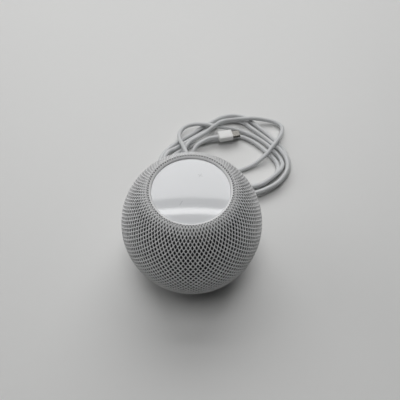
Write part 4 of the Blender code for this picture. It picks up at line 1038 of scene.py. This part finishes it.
        levels = (
            (bound, knots),
            (0.5 * (bound + rim), self.shoulder),
            (rim, self.strand_round),
            (self.undercut * rim, self.wall_depth),
        )
        place = np.stack([spot for spot, _ in levels], axis=1) + np.stack([u, v], axis=1)[:, None, None, :]
        depth = np.stack([np.broadcast_to(sink, self.sides) for _, sink in levels])
        along = self.travel(place[..., 1], rows, start, end)
        points = outline.skin_points(along, place[..., 0] * 2 * math.pi / self.wales, -depth)
        points = self.make_room(points.reshape(-1, 3))

        index = np.arange(len(points)).reshape(len(v), len(levels), self.sides)
        keys = np.round(place[:, 0] * [2 * step, step]).astype(int)
        keys[..., 0] %= 2 * step * self.wales
        flat = keys[..., 0] * (rows + 2) * step + keys[..., 1]
        _, first, same = np.unique(flat.ravel(), return_index=True, return_inverse=True)
        index[:, 0] = index[:, 0].ravel()[first][same.ravel()].reshape(-1, self.sides)
        near, far = index[:, :-1], index[:, 1:]
        quads = np.stack([near, far, np.roll(far, -1, 2), np.roll(near, -1, 2)], axis=-1).reshape(-1, 4)
        half_row = 0.5 * (place[..., 1] - exit_row)
        strands = np.stack([half_row + place[..., 0], half_row - place[..., 0]], axis=-1)
        inner, outer = strands[:, :-1], strands[:, 1:]
        spots = np.stack(
            [inner, outer, np.roll(outer, -1, 2), np.roll(inner, -1, 2)], axis=3,
        ).reshape(-1, 2)
        used, compact = np.unique(quads.ravel(), return_inverse=True)
        return skin("knit_cover", points[used], compact.reshape(-1, 4).tolist(), spots, tidy=False)

    def ribbed(
        self, outline: Outline, along: np.ndarray, rise: np.ndarray, fullness: np.ndarray,
    ) -> np.ndarray:
        """Places the rings of a ribbed band that goes round the body, two ribs to a wale.

        Args:
            outline: the cover's outline.
            along: how far along it each ring is.
            rise: how far each ring stands out.
            fullness: how much of the rib height each ring has.

        Returns:
            The rings.
        """
        wave = self.rib_height * (np.abs(np.sin(self.wales * self.around)) - 0.5)
        return outline.skin_points(along[:, None], self.around, rise[:, None] + wave * fullness[:, None])

    def lip(self, outline: Outline, start: float) -> Piece:
        """Makes the lip's turned-in edge, which closes on the disc and backs the knit's first row.

        Args:
            outline: the cover's outline.
            start: where the knit starts.

        Returns:
            The edge.
        """
        snug = outline.radius[0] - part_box("touch_disc")[1].x - self.disc_gap
        along = np.linspace(0.0, start + self.lip_lap, 30)
        stops = [0.0, 0.3 * start, start - 0.8 * MM, start, start + self.lip_lap]
        rise = np.interp(along, stops, [0.0, snug, snug, -0.04 * MM, -0.14 * MM])
        fullness = np.interp(along, [0.0, start - 0.8 * MM, start], [0.0, 0.5, 1.0])
        return loft(
            "cover_lip", self.ribbed(outline, along, rise, fullness), caps=False, repeats=2 * self.wales,
        )

    def hem(self, outline: Outline, start: float) -> Piece:
        """Makes the hem, which turns in under the body round the drawcord.

        Args:
            outline: the cover's outline.
            start: where the hem starts.

        Returns:
            The hem.
        """
        along = np.linspace(start, outline.along[-1] - 1.2 * self.hem_round, 14)
        steps = np.arange(14)
        rise = np.interp(steps, [0, 2, 13], [-0.25 * MM, 0.03 * MM, 0.0])
        fullness = np.interp(steps, [0, 3, 10, 13], [0.0, 1.0, 1.0, 0.4])
        shell = self.ribbed(outline, along, rise, fullness)
        radius, height = (float(row[0]) for row in outline.at(along[-1:])[:2])
        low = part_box("knit_sleeve")[0].z + 0.02 * MM
        turn = np.linspace(0.12 * math.pi, math.pi, 9)[:, None]
        reach = radius - self.hem_round * (1 - np.cos(turn))
        down = height + (low - height) * np.sin(turn)
        up = low + 2.2 * self.hem_round * (1 - np.sin(turn))
        level = np.where(turn > math.pi / 2, up, down) + 0 * self.around
        curl = np.stack([reach * np.cos(self.around), reach * np.sin(self.around), level], axis=-1)
        return loft("cover_hem", np.concatenate([shell, curl]), caps=False, repeats=2 * self.wales)

    def binding(self) -> Piece:
        """Makes the bound edge round the lead's exit, which follows the body's curve.

        Returns:
            The binding.
        """
        around = np.linspace(0, 2 * math.pi, 8 * self.stitches, endpoint=False)
        section = np.linspace(-0.25 * math.pi, 1.25 * math.pi, 15)[:, None]
        wave = 1 + 0.14 * (np.abs(np.sin(0.5 * self.stitches * around)) - 0.5)
        half = 0.5 * self.binding_width
        ring = self.opening_radius + half - half * np.cos(section) * wave
        rise = 0.55 * half * np.sin(section) * wave
        x = ring * np.cos(around)
        z = self.exit_height + ring * np.sin(around)
        places = np.stack([x, self.back(x, z), z], axis=-1)
        normal = (places - [0, 0, self.middle]) / [self.body**2, self.body**2, self.half_height**2]
        normal /= np.linalg.norm(normal, axis=-1)[..., None]
        return loft("exit_binding", places + normal * rise[..., None], caps=False, repeats=self.stitches)

    def build(self) -> list[Piece]:
        """Makes and dresses the cover.

        Returns:
            Its pieces.
        """
        outline, crest = self.outline()
        start = crest - self.lip_reach
        end = float(outline.along[-1]) - self.hem_height
        knit = fit(self.mesh_knit(outline, start, end), ROOT, KNIT, "knit_sleeve")
        trims = [self.lip(outline, start), self.hem(outline, end - self.hem_lap), self.binding()]
        for trim in trims:
            fit(trim, ROOT, RIB_KNIT)
        return [knit] + trims + dress(DRAWCORD, "sleeve_drawcord") + dress(MOULDED_BLACK, "sleeve_top_ring")


# ------------------------------------------------------------------------------------------------------ top


@dataclass
class TouchTop:
    """The touch disc with its two marks, and what lies under it."""

    dome: float = 1.2 * MM
    edge_round: float = 0.35 * MM
    face_share: float = 0.985
    mark_circle: float = 12.0 * MM
    mark_turn: float = math.radians(61)
    mark_half_length: float = 1.7 * MM
    mark_half_width: float = 0.28 * MM
    mark_rise: float = 0.012 * MM

    def crown(self, radius: float) -> float:
        """Height of the disc's face at a radius."""
        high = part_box("touch_disc")[1]
        return high.z - self.dome * (radius / high.x) ** 2

    def disc(self) -> Piece:
        """Makes the domed disc with its softened edge.

        Returns:
            The disc.
        """
        low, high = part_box("touch_disc")
        edge = high.x
        brow = self.crown(edge * self.face_share)
        face = [
            (edge * share, self.crown(edge * share)) for share in np.linspace(0.01, self.face_share, 28)
        ]
        rim = [
            (edge - self.edge_round * (1 - math.cos(a)), brow - self.edge_round * (1 - math.sin(a)))
            for a in np.linspace(0.42 * math.pi, 0, 7)
        ]
        return turned("touch_face", face + rim + [(edge, low.z), (0.2 * edge, low.z)], 160)

    def mark(self, name: str, turn: float, crossed: bool) -> Piece:
        """Makes one of the marks as a thin inlay that follows the dome.

        Args:
            name: the mark's name.
            turn: how far round the disc it is.
            crossed: whether it is a plus rather than a minus.

        Returns:
            The mark.
        """
        long, wide = self.mark_half_length, self.mark_half_width
        if crossed:
            quarter = [(long, -wide), (long, wide), (wide, wide)]
            corners = [
                (x * c - y * s, x * s + y * c)
                for c, s in ((1, 0), (0, 1), (-1, 0), (0, -1))
                for x, y in quarter
            ]
        else:
            corners = [(long, -wide), (long, wide), (-long, wide), (-long, -wide)]
        shape = np.array(rounded(corners, 0.5 * wide))
        cos, sin = math.cos(turn), math.sin(turn)
        flat = shape @ np.array([[cos, sin], [-sin, cos]]) + self.mark_circle * np.array([cos, sin])
        tops = np.array([self.crown(float(np.hypot(*place))) for place in flat])
        rings = [np.column_stack([flat, tops + rise]) for rise in (-0.1 * MM, self.mark_rise)]
        return loft(name, np.array(rings))

    def build(self) -> list[Piece]:
        """Makes and dresses the top.

        Returns:
            Its pieces.
        """
        pieces = [
            fit(self.disc(), ROOT, TOUCH_GLOSS, "touch_disc"),
            fit(self.mark("louder_mark", self.mark_turn, True), ROOT, MARK_GREY),
            fit(self.mark("quieter_mark", self.mark_turn + math.pi, False), ROOT, MARK_GREY),
        ]
        pieces += dress(COPPER, "touch_sensor") + dress(CIRCUIT, "led_board")
        pieces += dress(MILKY, "light_diffuser", *(f"led_{i}" for i in (1, 2, 3)))
        return pieces + dress(STEEL, *(f"mic_module_{i}" for i in (1, 2, 3)))


# -------------------------------------------------------------------------------------------- base, insides


@dataclass
class Base:
    """The foot and everything that is screwed together from below."""

    grooves: int = 3
    groove_depth: float = 0.25 * MM
    groove_mouth: float = 0.5 * MM
    groove_floor: float = 0.3 * MM
    foot_width: float = 9.0 * MM
    foot_round: float = 0.4 * MM
    foot_sides: int = 128

    def foot(self) -> Piece:
        """Makes the rubber foot with grip grooves in its underside.

        Returns:
            The foot.
        """
        low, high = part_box("foot_ring")
        outer = high.x
        inner = outer - self.foot_width
        pitch = (outer - inner) / (self.grooves + 1)
        roof = low.z + self.groove_depth
        under = []
        for i in range(1, self.grooves + 1):
            middle = inner + i * pitch
            under += [(middle - self.groove_mouth, low.z), (middle - self.groove_floor, roof)]
            under += [(middle + self.groove_floor, roof), (middle + self.groove_mouth, low.z)]
        corners = [(inner, high.z), (inner, low.z)] + under + [(outer, low.z), (outer, high.z)]
        return turned("grip_foot", rounded(corners, self.foot_round, steps=3), self.foot_sides, loop=True)

    def build(self) -> list[Piece]:
        """Makes and dresses the base.

        Returns:
            Its pieces.
        """
        pieces = [fit(self.foot(), ROOT, FOOT_RUBBER, "foot_ring")]
        pieces += dress(HOUSING_WHITE, "base_cover") + dress(BLACK_RUBBER, "base_gasket", "housing_seal")
        pieces += dress(STEEL, *(f"base_screw_{i}" for i in (1, 2, 3, 4)))
        return pieces + dress(MOULDED_BLACK, "waveguide_cone", "main_housing", "top_housing")


@dataclass
class Driver:
    """The downward-facing driver. Its roll and its spider bend between the frame and the moving cone."""

    gap: float = 0.3 * MM
    thickness: float = 0.5 * MM
    roll: float = 1.5 * MM
    neck_wall: float = 0.9 * MM
    spider_waves: int = 6
    spider_wave: float = 0.6 * MM
    spider_drop: float = 1.6 * MM
    spider_top: float = 33.6 * MM

    def build(self) -> list[Piece]:
        """Makes and dresses the driver.

        Returns:
            Its pieces.
        """
        cone_low, cone_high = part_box("driver_cone")
        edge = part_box("driver_surround")[1]
        low = cone_low.z + self.thickness
        outline = swelling_strip(cone_high.x + self.gap, edge.x, low, edge.z, -self.roll, 1, self.thickness)
        surround = turned("driver_roll", outline, loop=True)
        bend(surround, BLACK_RUBBER, "driver_surround")

        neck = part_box("voice_coil_former")[1].x + self.neck_wall
        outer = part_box("driver_spider")[1].x
        low = self.spider_top - self.spider_drop
        outline = swelling_strip(
            neck, outer, low, self.spider_top, self.spider_wave, self.spider_waves, self.thickness
        )
        spider = turned("spider_disc", outline, loop=True)
        bend(spider, SPIDER_CLOTH, "driver_spider")

        pieces = [surround, spider] + dress(MOULDED_BLACK, "driver_basket")
        pieces += dress(STEEL, "driver_top_plate", "driver_yoke") + dress(FERRITE, "driver_magnet")
        pieces += dress(PAPER, "driver_cone", "driver_dust_cap") + dress(ALUMINIUM, "voice_coil_former")
        return pieces + dress(COPPER, "voice_coil_winding")


@dataclass
class Radiators:
    """The two passive radiators at the sides. Each one's roll bends between its frame and its plate."""

    gap: float = 0.3 * MM
    thickness: float = 0.5 * MM
    roll: float = 1.3 * MM
    drop: float = 1.4 * MM

    def build(self) -> list[Piece]:
        """Makes and dresses the radiators.

        Returns:
            Their pieces.
        """
        pieces = []
        for side, sign, facing in (("left", -1, Facing.LEFT), ("right", 1, Facing.RIGHT)):
            low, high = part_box(f"{side}_radiator_plate")
            rim_low, rim_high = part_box(f"{side}_radiator_surround")
            axis_z = 0.5 * (low.z + high.z)
            inner = 0.5 * (high.z - low.z) + self.gap
            outer = 0.5 * (rim_high.z - rim_low.z)
            end = max(abs(low.x), abs(high.x))
            outline = swelling_strip(inner, outer, end, end + self.drop, self.roll, 1, self.thickness)
            roll = turned(f"{side}_roll", outline, loop=True, facing=facing, centre=(0, 0, axis_z))
            bend(
                roll, BLACK_RUBBER, f"{side}_radiator_surround",
            )
            pieces.append(roll)
            pieces += dress(MOULDED_BLACK, f"{side}_radiator_frame")
            pieces += dress(PAPER, f"{side}_radiator_plate")
            pieces += dress(STEEL, f"{side}_radiator_weight")
        return pieces


@dataclass
class Electronics:
    """The logic board, what stands on it, and the lead's inner end."""

    def build(self) -> list[Piece]:
        """Dresses the electronics.

        Returns:
            Their pieces.
        """
        pieces = dress(CIRCUIT, "logic_board") + dress(FERRITE, "power_inductor")
        pieces += dress(
            STEEL, "processor_shield", "wireless_shield", *(f"board_screw_{i}" for i in (1, 2, 3))
        )
        pieces += dress(MILKY, "board_power_socket", "inner_power_plug")
        pieces += dress(LEAD_JACKET, "inner_power_lead")
        return pieces + dress(ALUMINIUM, "heat_spreader") + dress(COPPER, "antenna_1", "antenna_2")


# ----------------------------------------------------------------------------------------------------- lead

# The lead's route in millimetres, from the rear exit through the loose loops behind the body to the plug
CORD_ROUTE = (
    # up from the exit and over the left of the loops, then right along their far side
    (0, 46, 15), (0, 54, 14.5), (-3, 76, 11.3), (-5.5, 88, 10.5), (-9.5, 99.5, 10.2), (-13, 110, 7.6),
    (-13.5, 118.5, 6.4), (-9, 126, 6.4), (0, 130, 6.4), (10, 130, 6.5), (22, 127.5, 6.5), (35, 126, 5),
    (47, 123.5, 2.8), (58.2, 117.6, 2.1), (68, 108.5, 2.1),
    (75.5, 98, 2.1), (80.2, 87.5, 2.3), (78.6, 78.5, 5.4),
    # first return behind the body
    (73.4, 71, 6.3), (59.7, 60, 6.4), (50.5, 56.7, 6.4), (41, 55.5, 6.5), (31, 52.5, 6.6), (21, 47.5, 6.4),
    (10, 44.6, 4.2), (-1, 46.5, 2.4), (-12, 52.5, 2.1), (-21.5, 61.5, 2.1), (-28, 72, 2.1), (-31, 83, 2.1),
    # second loop, the widest
    (-29.5, 93, 2.1), (-24.5, 102, 2.1), (-16.5, 110, 2.1),
    (-6, 118.5, 2.1), (5, 127.5, 2.1), (15, 135.5, 2.1),
    (26, 143, 2.1), (37.5, 146.2, 2.1), (48.5, 144, 2.1), (58, 135, 2.1), (67, 125, 2.1), (76, 113.5, 2.1),
    (83.5, 101, 2.1), (86.3, 88, 2.1), (84.5, 77, 2.1), (79, 68, 2.1), (62.3, 54.6, 2.1), (42, 46.2, 2.1),
    (29, 46.3, 2.1), (16, 48.7, 2.1), (4, 53, 2.1), (-7, 59.5, 2.1), (-16, 68, 2.1), (-22.5, 77.5, 3.4),
    # third loop, just inside the second
    (-26.5, 87, 5.5), (-24, 96, 5), (-16.5, 103.5, 2.6),
    (1.5, 117.8, 2.1), (20, 131.5, 2.1), (29.5, 137, 2.1),
    (39, 139.3, 2.1), (48, 136.5, 2.1), (56, 128.5, 2.1),
    (64.5, 119.8, 2.1), (73.5, 109, 2.6), (80, 98.5, 4.9),
    (83.8, 87.5, 6.1), (83, 76, 6.4), (78, 66.7, 6.4), (71, 59.4, 6.4), (53, 50.4, 6.3), (43, 51.2, 4.8),
    (31, 52.2, 2.2), (18, 54.4, 2.1), (6, 58.7, 2.1), (-5, 65.2, 2.1), (-14, 73.5, 2.1), (-20, 82.5, 2.1),
    # fourth loop, innermost, which passes under the plug
    (-21.2, 91, 2.1), (-5.5, 105, 2.1), (6, 110.5, 2.1), (20, 114, 2.1), (33, 117, 2.1), (44, 118, 2.1),
    (53.8, 113, 2.1), (62.8, 104.5, 2.1), (75, 87, 2.1), (75.8, 79, 2.1), (72, 72, 2.1), (59, 61.4, 2.1),
    (50, 58, 2.1), (39, 58.2, 2.1), (26, 60.5, 2.1), (13, 64.8, 2.1), (2, 70.7, 2.1), (-6.5, 79, 2.1),
    # last run over everything, round its tight end and back behind the body
    (-10.5, 89, 3.4), (-8.8, 98, 5.8), (-4.5, 106.5, 6.9), (3, 113, 6.6), (11, 118.5, 7.2), (19, 124, 10.2),
    (26, 129, 11), (44, 136.3, 7), (57, 138, 6.4), (69, 138, 4.4), (78.5, 136, 3.2), (84.5, 130, 3.2),
    (83.5, 121, 4.6), (78.5, 110.5, 7.4), (72.5, 101, 8.4), (66, 93, 6.2), (57, 85.5, 3.6), (47, 80, 2.3),
    (27, 72.5, 2.1), (16, 73, 2.1), (7, 78, 2.1), (1, 86, 2.1), (-1.5, 94, 3.4), (2.2, 102.5, 6.2),
    # the end, with the plug lying on the fourth loop
    (8.5, 108.2, 6.5), (15, 111.5, 7), (22.5, 113.2, 7.2),
)


def smooth_route(route: Sequence[tuple[float, float, float]], steps: int) -> np.ndarray:
    """Draws a centripetal spline through the route, so that it bends without kinks.

    Args:
        route: the points to pass through.
        steps: how many points there are between two of them.

    Returns:
        Points along the spline.
    """
    knots = np.array(route, float)
    knots = np.vstack([2 * knots[0] - knots[1], knots, 2 * knots[-1] - knots[-2]])
    points = []
    for i in range(1, len(knots) - 2):
        a, b, c, d = knots[i - 1:i + 3]
        ta = 0.0
        tb = ta + np.linalg.norm(b - a) ** 0.5
        tc = tb + np.linalg.norm(c - b) ** 0.5
        td = tc + np.linalg.norm(d - c) ** 0.5
        for t in np.linspace(tb, tc, steps, endpoint=False):
            ab = ((tb - t) * a + (t - ta) * b) / (tb - ta)
            bc = ((tc - t) * b + (t - tb) * c) / (tc - tb)
            cd = ((td - t) * c + (t - tc) * d) / (td - tc)
            abc = ((tc - t) * ab + (t - ta) * bc) / (tc - ta)
            bcd = ((td - t) * bc + (t - tb) * cd) / (td - tb)
            points.append(((tc - t) * abc + (t - tb) * bcd) / (tc - tb))
    points.append(knots[-2])
    return np.array(points)


@dataclass
class Lead:
    """The lead from its grommet at the rear to its plug, which lies on the loops."""

    radius: float = 1.95 * MM
    length: float = 1.495
    exit_place: tuple[float, float, float] = (0.0, 46.0 * MM, 15.0 * MM)
    heading: float = math.radians(12)
    boot: tuple[float, float, float] = (13.3 * MM, 10.4 * MM, 5.6 * MM)
    boot_round: float = 1.5 * MM
    front_round: float = 0.6 * MM
    parting: float = 1.9 * MM
    parting_width: float = 0.16 * MM
    parting_depth: float = 0.12 * MM
    neck_reach: float = 2.6 * MM
    squareness: float = 0.42
    grommet_neck: float = 3.4 * MM
    shell: tuple[float, float, float] = (6.65 * MM, 8.3 * MM, 2.5 * MM)
    shell_wall: float = 0.35 * MM
    slot_height: float = 0.85 * MM
    contact_count: int = 12
    contact_pitch: float = 0.5 * MM
    contact_width: float = 0.26 * MM
    contact_length: float = 3.2 * MM
    contact_start: float = 2.2 * MM
    contact_height: float = 0.43 * MM
    gap: float = 0.3 * MM
    sides: int = 72

    def jacket(self) -> Piece:
        """Makes the jacket as a round curve along the route.

        Returns:
            The jacket.
        """
        line = smooth_route(CORD_ROUTE, 8) * MM
        curve = bpy.data.curves.new("power_lead", "CURVE")
        curve.dimensions = "3D"
        curve.bevel_depth = self.radius
        curve.bevel_resolution = 6
        curve.use_fill_caps = True
        spline = curve.splines.new("POLY")
        spline.points.add(len(line) - 1)
        spline.points.foreach_set("co", np.column_stack([line, np.ones(len(line))]).ravel())
        spline.use_smooth = True
        piece = bpy.data.objects.new("power_lead", curve)
        bpy.context.scene.collection.objects.link(piece)
        return piece

    def grommet(self) -> Piece:
        """Makes the tapered grommet with its two relief rings.

        Returns:
            The grommet.
        """
        low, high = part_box("cord_grommet")
        flange, neck, tip = low.y, self.grommet_neck, high.y
        corners = [
            (0.4 * neck, flange),
            (high.x, flange),
            (high.x, flange + 1.6 * MM),
            (neck, flange + 1.6 * MM),
            (neck, tip - 4.2 * MM),
            (neck - 0.35 * MM, tip - 3.9 * MM),
            (neck - 0.4 * MM, tip - 3.3 * MM),
            (neck - 0.1 * MM, tip - 3.0 * MM),
            (neck - 0.3 * MM, tip - 2.3 * MM),
            (neck - 0.7 * MM, tip - 2.0 * MM),
            (neck - 0.75 * MM, tip - 1.4 * MM),
            (neck - 0.5 * MM, tip - 1.1 * MM),
            (2.45 * MM, tip + 0.2 * MM),
            (2.05 * MM, tip + 0.4 * MM),
            (0.6 * MM, tip + 0.4 * MM),
        ]
        outline = rounded(corners, 0.3 * MM, loop=False)
        return turned("lead_grommet", outline, 64, facing=Facing.BACK, centre=(0, 0, self.exit_place[2]))

    def on_plug(self, along: np.ndarray, across: np.ndarray, up: np.ndarray) -> np.ndarray:
        """Places points by the plug's own axes, from the lead's end.

        Args:
            along: how far from the lead's end.
            across: how far to the left of the heading.
            up: how far above the plug's middle.

        Returns:
            The points.
        """
        end = np.array(CORD_ROUTE[-1]) * MM
        cos, sin = math.cos(self.heading), math.sin(self.heading)
        return np.stack(
            [end[0] + along * cos - across * sin, end[1] + along * sin + across * cos, end[2] + up],
            axis=-1,
        )

    def boot_piece(self) -> Piece:
        """Makes the plug's body: a soft rounded block with a parting line and a neck that takes the lead.

        Returns:
            The body.
        """
        long, wide, tall = self.boot[0], 0.5 * self.boot[1], 0.5 * self.boot[2]
        quarter = np.linspace(0, 0.5 * math.pi, 7)
        back, front = self.boot_round, self.front_round
        stations = [
            (-self.gap - 0.2 * MM, 2.02 * MM, 2.02 * MM),
            (-self.gap, 2.3 * MM, 2.25 * MM),
            (0.0, 2.5 * MM, 2.4 * MM),
        ]
        for turn in quarter:
            inset = back * (1 - math.sin(turn))
            stations.append((back * (1 - math.cos(turn)), wide - inset, tall - inset))
        line, depth = long - self.parting, self.parting_depth
        for along, inset in ((-1, 0.0), (-0.5, depth), (0.5, depth), (1, 0.0)):
            stations.append((line + along * self.parting_width, wide - inset, tall - inset))
        for turn in quarter:
            inset = front * (1 - math.cos(turn))
            stations.append((long - front * (1 - math.sin(turn)), wide - inset, tall - inset))
        stations.append((long, wide - 1.6 * MM, tall - 1.4 * MM))
        angle = np.linspace(0, 2 * math.pi, self.sides, endpoint=False)
        rings = []
        for along, half_wide, half_tall in stations:
            power = 1.0 if half_wide < self.neck_reach else self.squareness
            across = half_wide * np.sign(np.cos(angle)) * np.abs(np.cos(angle)) ** power
            up = half_tall * np.sign(np.sin(angle)) * np.abs(np.sin(angle)) ** power
            rings.append(self.on_plug(np.full_like(angle, along + self.gap), across, up))
        return loft("plug_body", np.array(rings))

    def oval(self, along: float, wide: float, tall: float) -> np.ndarray:
        """Points of a flat-sided oval across the plug.

        Args:
            along: how far from the lead's end.
            wide: its width.
            tall: its height.

        Returns:
            The points.
        """
        angle = np.linspace(0, 2 * math.pi, self.sides, endpoint=False)
        across = 0.5 * tall * np.cos(angle) + np.sign(np.cos(angle)) * 0.5 * (wide - tall)
        return self.on_plug(np.full_like(angle, along), across, 0.5 * tall * np.sin(angle))

    def shell_piece(self) -> Piece:
        """Makes the plug's drawn steel shell with its rolled mouth.

        Returns:
            The shell.
        """
        long, wide, tall = self.shell
        start = 2 * self.gap + self.boot[0]
        wall = self.shell_wall
        stations = [
            (-self.gap, 0.3),
            (-self.gap, 0.0),
            (long - 0.4 * MM, 0.0),
            (long - 0.12 * MM, 0.09),
            (long, 0.28),
            (long, 0.72),
            (long - 0.1 * MM, 0.95),
            (long - 0.3 * MM, 1.0),
            (0.9 * MM, 1.0),
        ]
        rings = [self.oval(start + x, wide - 2 * wall * s, tall - 2 * wall * s) for x, s in stations]
        return loft("plug_metal_shell", np.array(rings))

    def insert_piece(self) -> Piece:
        """Makes the insert that lines the shell round the slot.

        Returns:
            The insert.
        """
        long, wide, tall = self.shell
        start = 2 * self.gap + self.boot[0]
        outer_wide, outer_tall = wide - 2 * self.shell_wall, tall - 2 * self.shell_wall
        slot_wide, slot_tall = outer_wide - 0.9 * MM, self.slot_height
        stations = [
            (1.0 * MM, 0),
            (long - 0.8 * MM, 0),
            (long - 0.7 * MM, 0.5),
            (long - 0.8 * MM, 1),
            (1.6 * MM, 1),
        ]
        rings = []
        for x, share in stations:
            width = outer_wide + (slot_wide - outer_wide) * share
            height = outer_tall + (slot_tall - outer_tall) * share
            rings.append(self.oval(start + x, width, height))
        return loft("plug_insert_liner", np.array(rings))

    def contacts(self) -> Piece:
        """Makes the rows of contacts above and below the slot.

        Returns:
            The contacts.
        """
        start = 2 * self.gap + self.boot[0] + self.contact_start
        half, long = 0.5 * self.contact_width, self.contact_length
        points, faces = [], []
        for side in (-1, 1):
            for i in range(self.contact_count):
                middle = (i - 0.5 * (self.contact_count - 1)) * self.contact_pitch
                base = len(points)
                for x, lift in ((0, 0.05), (0.35 * long, 0.12), (0.8 * long, 0.12), (long, 0.03)):
                    for y in (middle - half, middle + half):
                        for thick in (0.0, lift * MM):
                            points.append((start + x, y, side * (self.contact_height - thick)))
                for station in range(3):
                    near, far = base + 4 * station, base + 4 * station + 4
                    for first, second in ((0, 1), (1, 3), (3, 2), (2, 0)):
                        faces.append((near + first, near + second, far + second, far + first))
                faces.append((base, base + 2, base + 3, base + 1))
                faces.append((base + 12, base + 13, base + 15, base + 14))
        table = np.array(points)
        return skin("plug_contacts", self.on_plug(table[:, 0], table[:, 1], table[:, 2]), faces)

    def build(self) -> list[Piece]:
        """Returns:
            Its pieces.
        """
        grommet = fit(self.grommet(), ROOT, LEAD_JACKET, "cord_grommet")
        boot = fit(self.boot_piece(), ROOT, PLUG_WHITE, "plug_boot")
        # The shell takes the darkened steel, which carries painted shade and painted dark reflection.
        shell = fit(self.shell_piece(), ROOT, PLUG_STEEL_PAINTED_SHADE, "plug_shell")
        insert = fit(self.insert_piece(), ROOT, INSERT_BLACK, "plug_insert")
        contacts = fit(self.contacts(), ROOT, CONTACT_GOLD)
        jacket = fit(self.jacket(), ROOT, LEAD_JACKET, "power_cord")
        return [grommet, jacket, boot, shell, insert, contacts]


# --------------------------------------------------------------------------------------------------- studio


@dataclass(frozen=True)
class Panel:
    """A soft rectangular light that faces the speaker."""

    name: str
    place: tuple[float, float, float]
    size: tuple[float, float]
    power: float

    def hang(self, aim: Vector) -> None:
        """Hangs the light so that it faces a point."""
        data = bpy.data.lights.new(self.name, "AREA")
        data.shape = "RECTANGLE"
        data.size, data.size_y = self.size
        data.energy = self.power
        item = bpy.data.objects.new(self.name, data)
        item.location = self.place
        item.rotation_euler = (aim - Vector(self.place)).to_track_quat("-Z", "Y").to_euler()
        bpy.context.scene.collection.objects.link(item)


@dataclass
class Studio:
    """The pale floor, the soft lights and the camera."""

    lens: float = 36.09
    camera_place: tuple[float, float, float] = (5.7 * MM, -143.4 * MM, 287.0 * MM)
    camera_tilt: float = math.radians(33.58)
    floor_reach: float = 2.5
    aim: tuple[float, float, float] = (0.0, 0.02, 0.05)
    air: float = 0.020
    panels: tuple[Panel, ...] = (
        Panel("rear_window", (0.0, 1.15, 1.12), (1.9, 0.95), 14.0),
        Panel("ceiling_strip", (0.0, 0.58, 1.36), (1.3, 0.07), 1.61),
        Panel("left_window", (-1.3, 0.5, 0.8), (1.2, 1.0), 4.0),
        Panel("ceiling_light", (0.0, -0.05, 1.5), (0.7, 0.7), 5.18),
    )

    def camera(self) -> None:
        """Sets the camera up, looking down at the speaker from the front."""
        data = bpy.data.cameras.new("view")
        data.sensor_width = 36.0
        data.lens = self.lens
        data.clip_start = 0.01
        item = bpy.data.objects.new("view", data)
        item.location = self.camera_place
        item.rotation_euler = (self.camera_tilt, 0.0, 0.0)
        bpy.context.scene.collection.objects.link(item)
        bpy.context.scene.camera = item

    def floor(self) -> None:
        """Lays the pale floor."""
        reach = self.floor_reach
        corners = np.array(
            [(-reach, -reach, 0), (reach, -reach, 0), (reach, reach, 0), (-reach, reach, 0)], float,
        )
        item = skin("floor", corners, [(0, 1, 2, 3)], tidy=False)
        material = bpy.data.materials.new("pale_floor")
        material.use_nodes = True
        wiring = Wiring(material.node_tree)
        shader = material.node_tree.nodes["Principled BSDF"]
        tone = wiring.effect(tone_effect(), Colour=(0.76, 0.76, 0.75, 1.0), Amount=0.02, Scale=6.0)
        wiring.feed(shader.inputs["Base Color"], tone.outputs["Colour"])
        shader.inputs["Roughness"].default_value = 0.5
        item.data.materials.append(material)

    def build(self) -> None:
        """Sets up the camera, the floor, the lights and the air's own glow."""
        self.camera()
        self.floor()
        for panel in self.panels:
            panel.hang(Vector(self.aim))
        world = bpy.data.worlds.new("studio_air")
        world.use_nodes = True
        glow = world.node_tree.nodes["Background"]
        glow.inputs["Color"].default_value = (0.95, 0.98, 1.0, 1.0)
        glow.inputs["Strength"].default_value = self.air
        bpy.context.scene.world = world
        bpy.context.scene.view_settings.view_transform = "Standard"


def main() -> None:
    """Builds the studio and the speaker in order, and reports each piece."""
    logging.basicConfig(level=logging.INFO, format="%(name)s %(message)s")
    Studio().build()
    for part in (Lead(), KnitCover(), TouchTop(), Base(), Driver(), Radiators(), Electronics()):
        for piece in part.build():
            log.info("%s: %s", type(part).__name__, piece.name)
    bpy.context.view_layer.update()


if __name__ == "__main__":
    main()
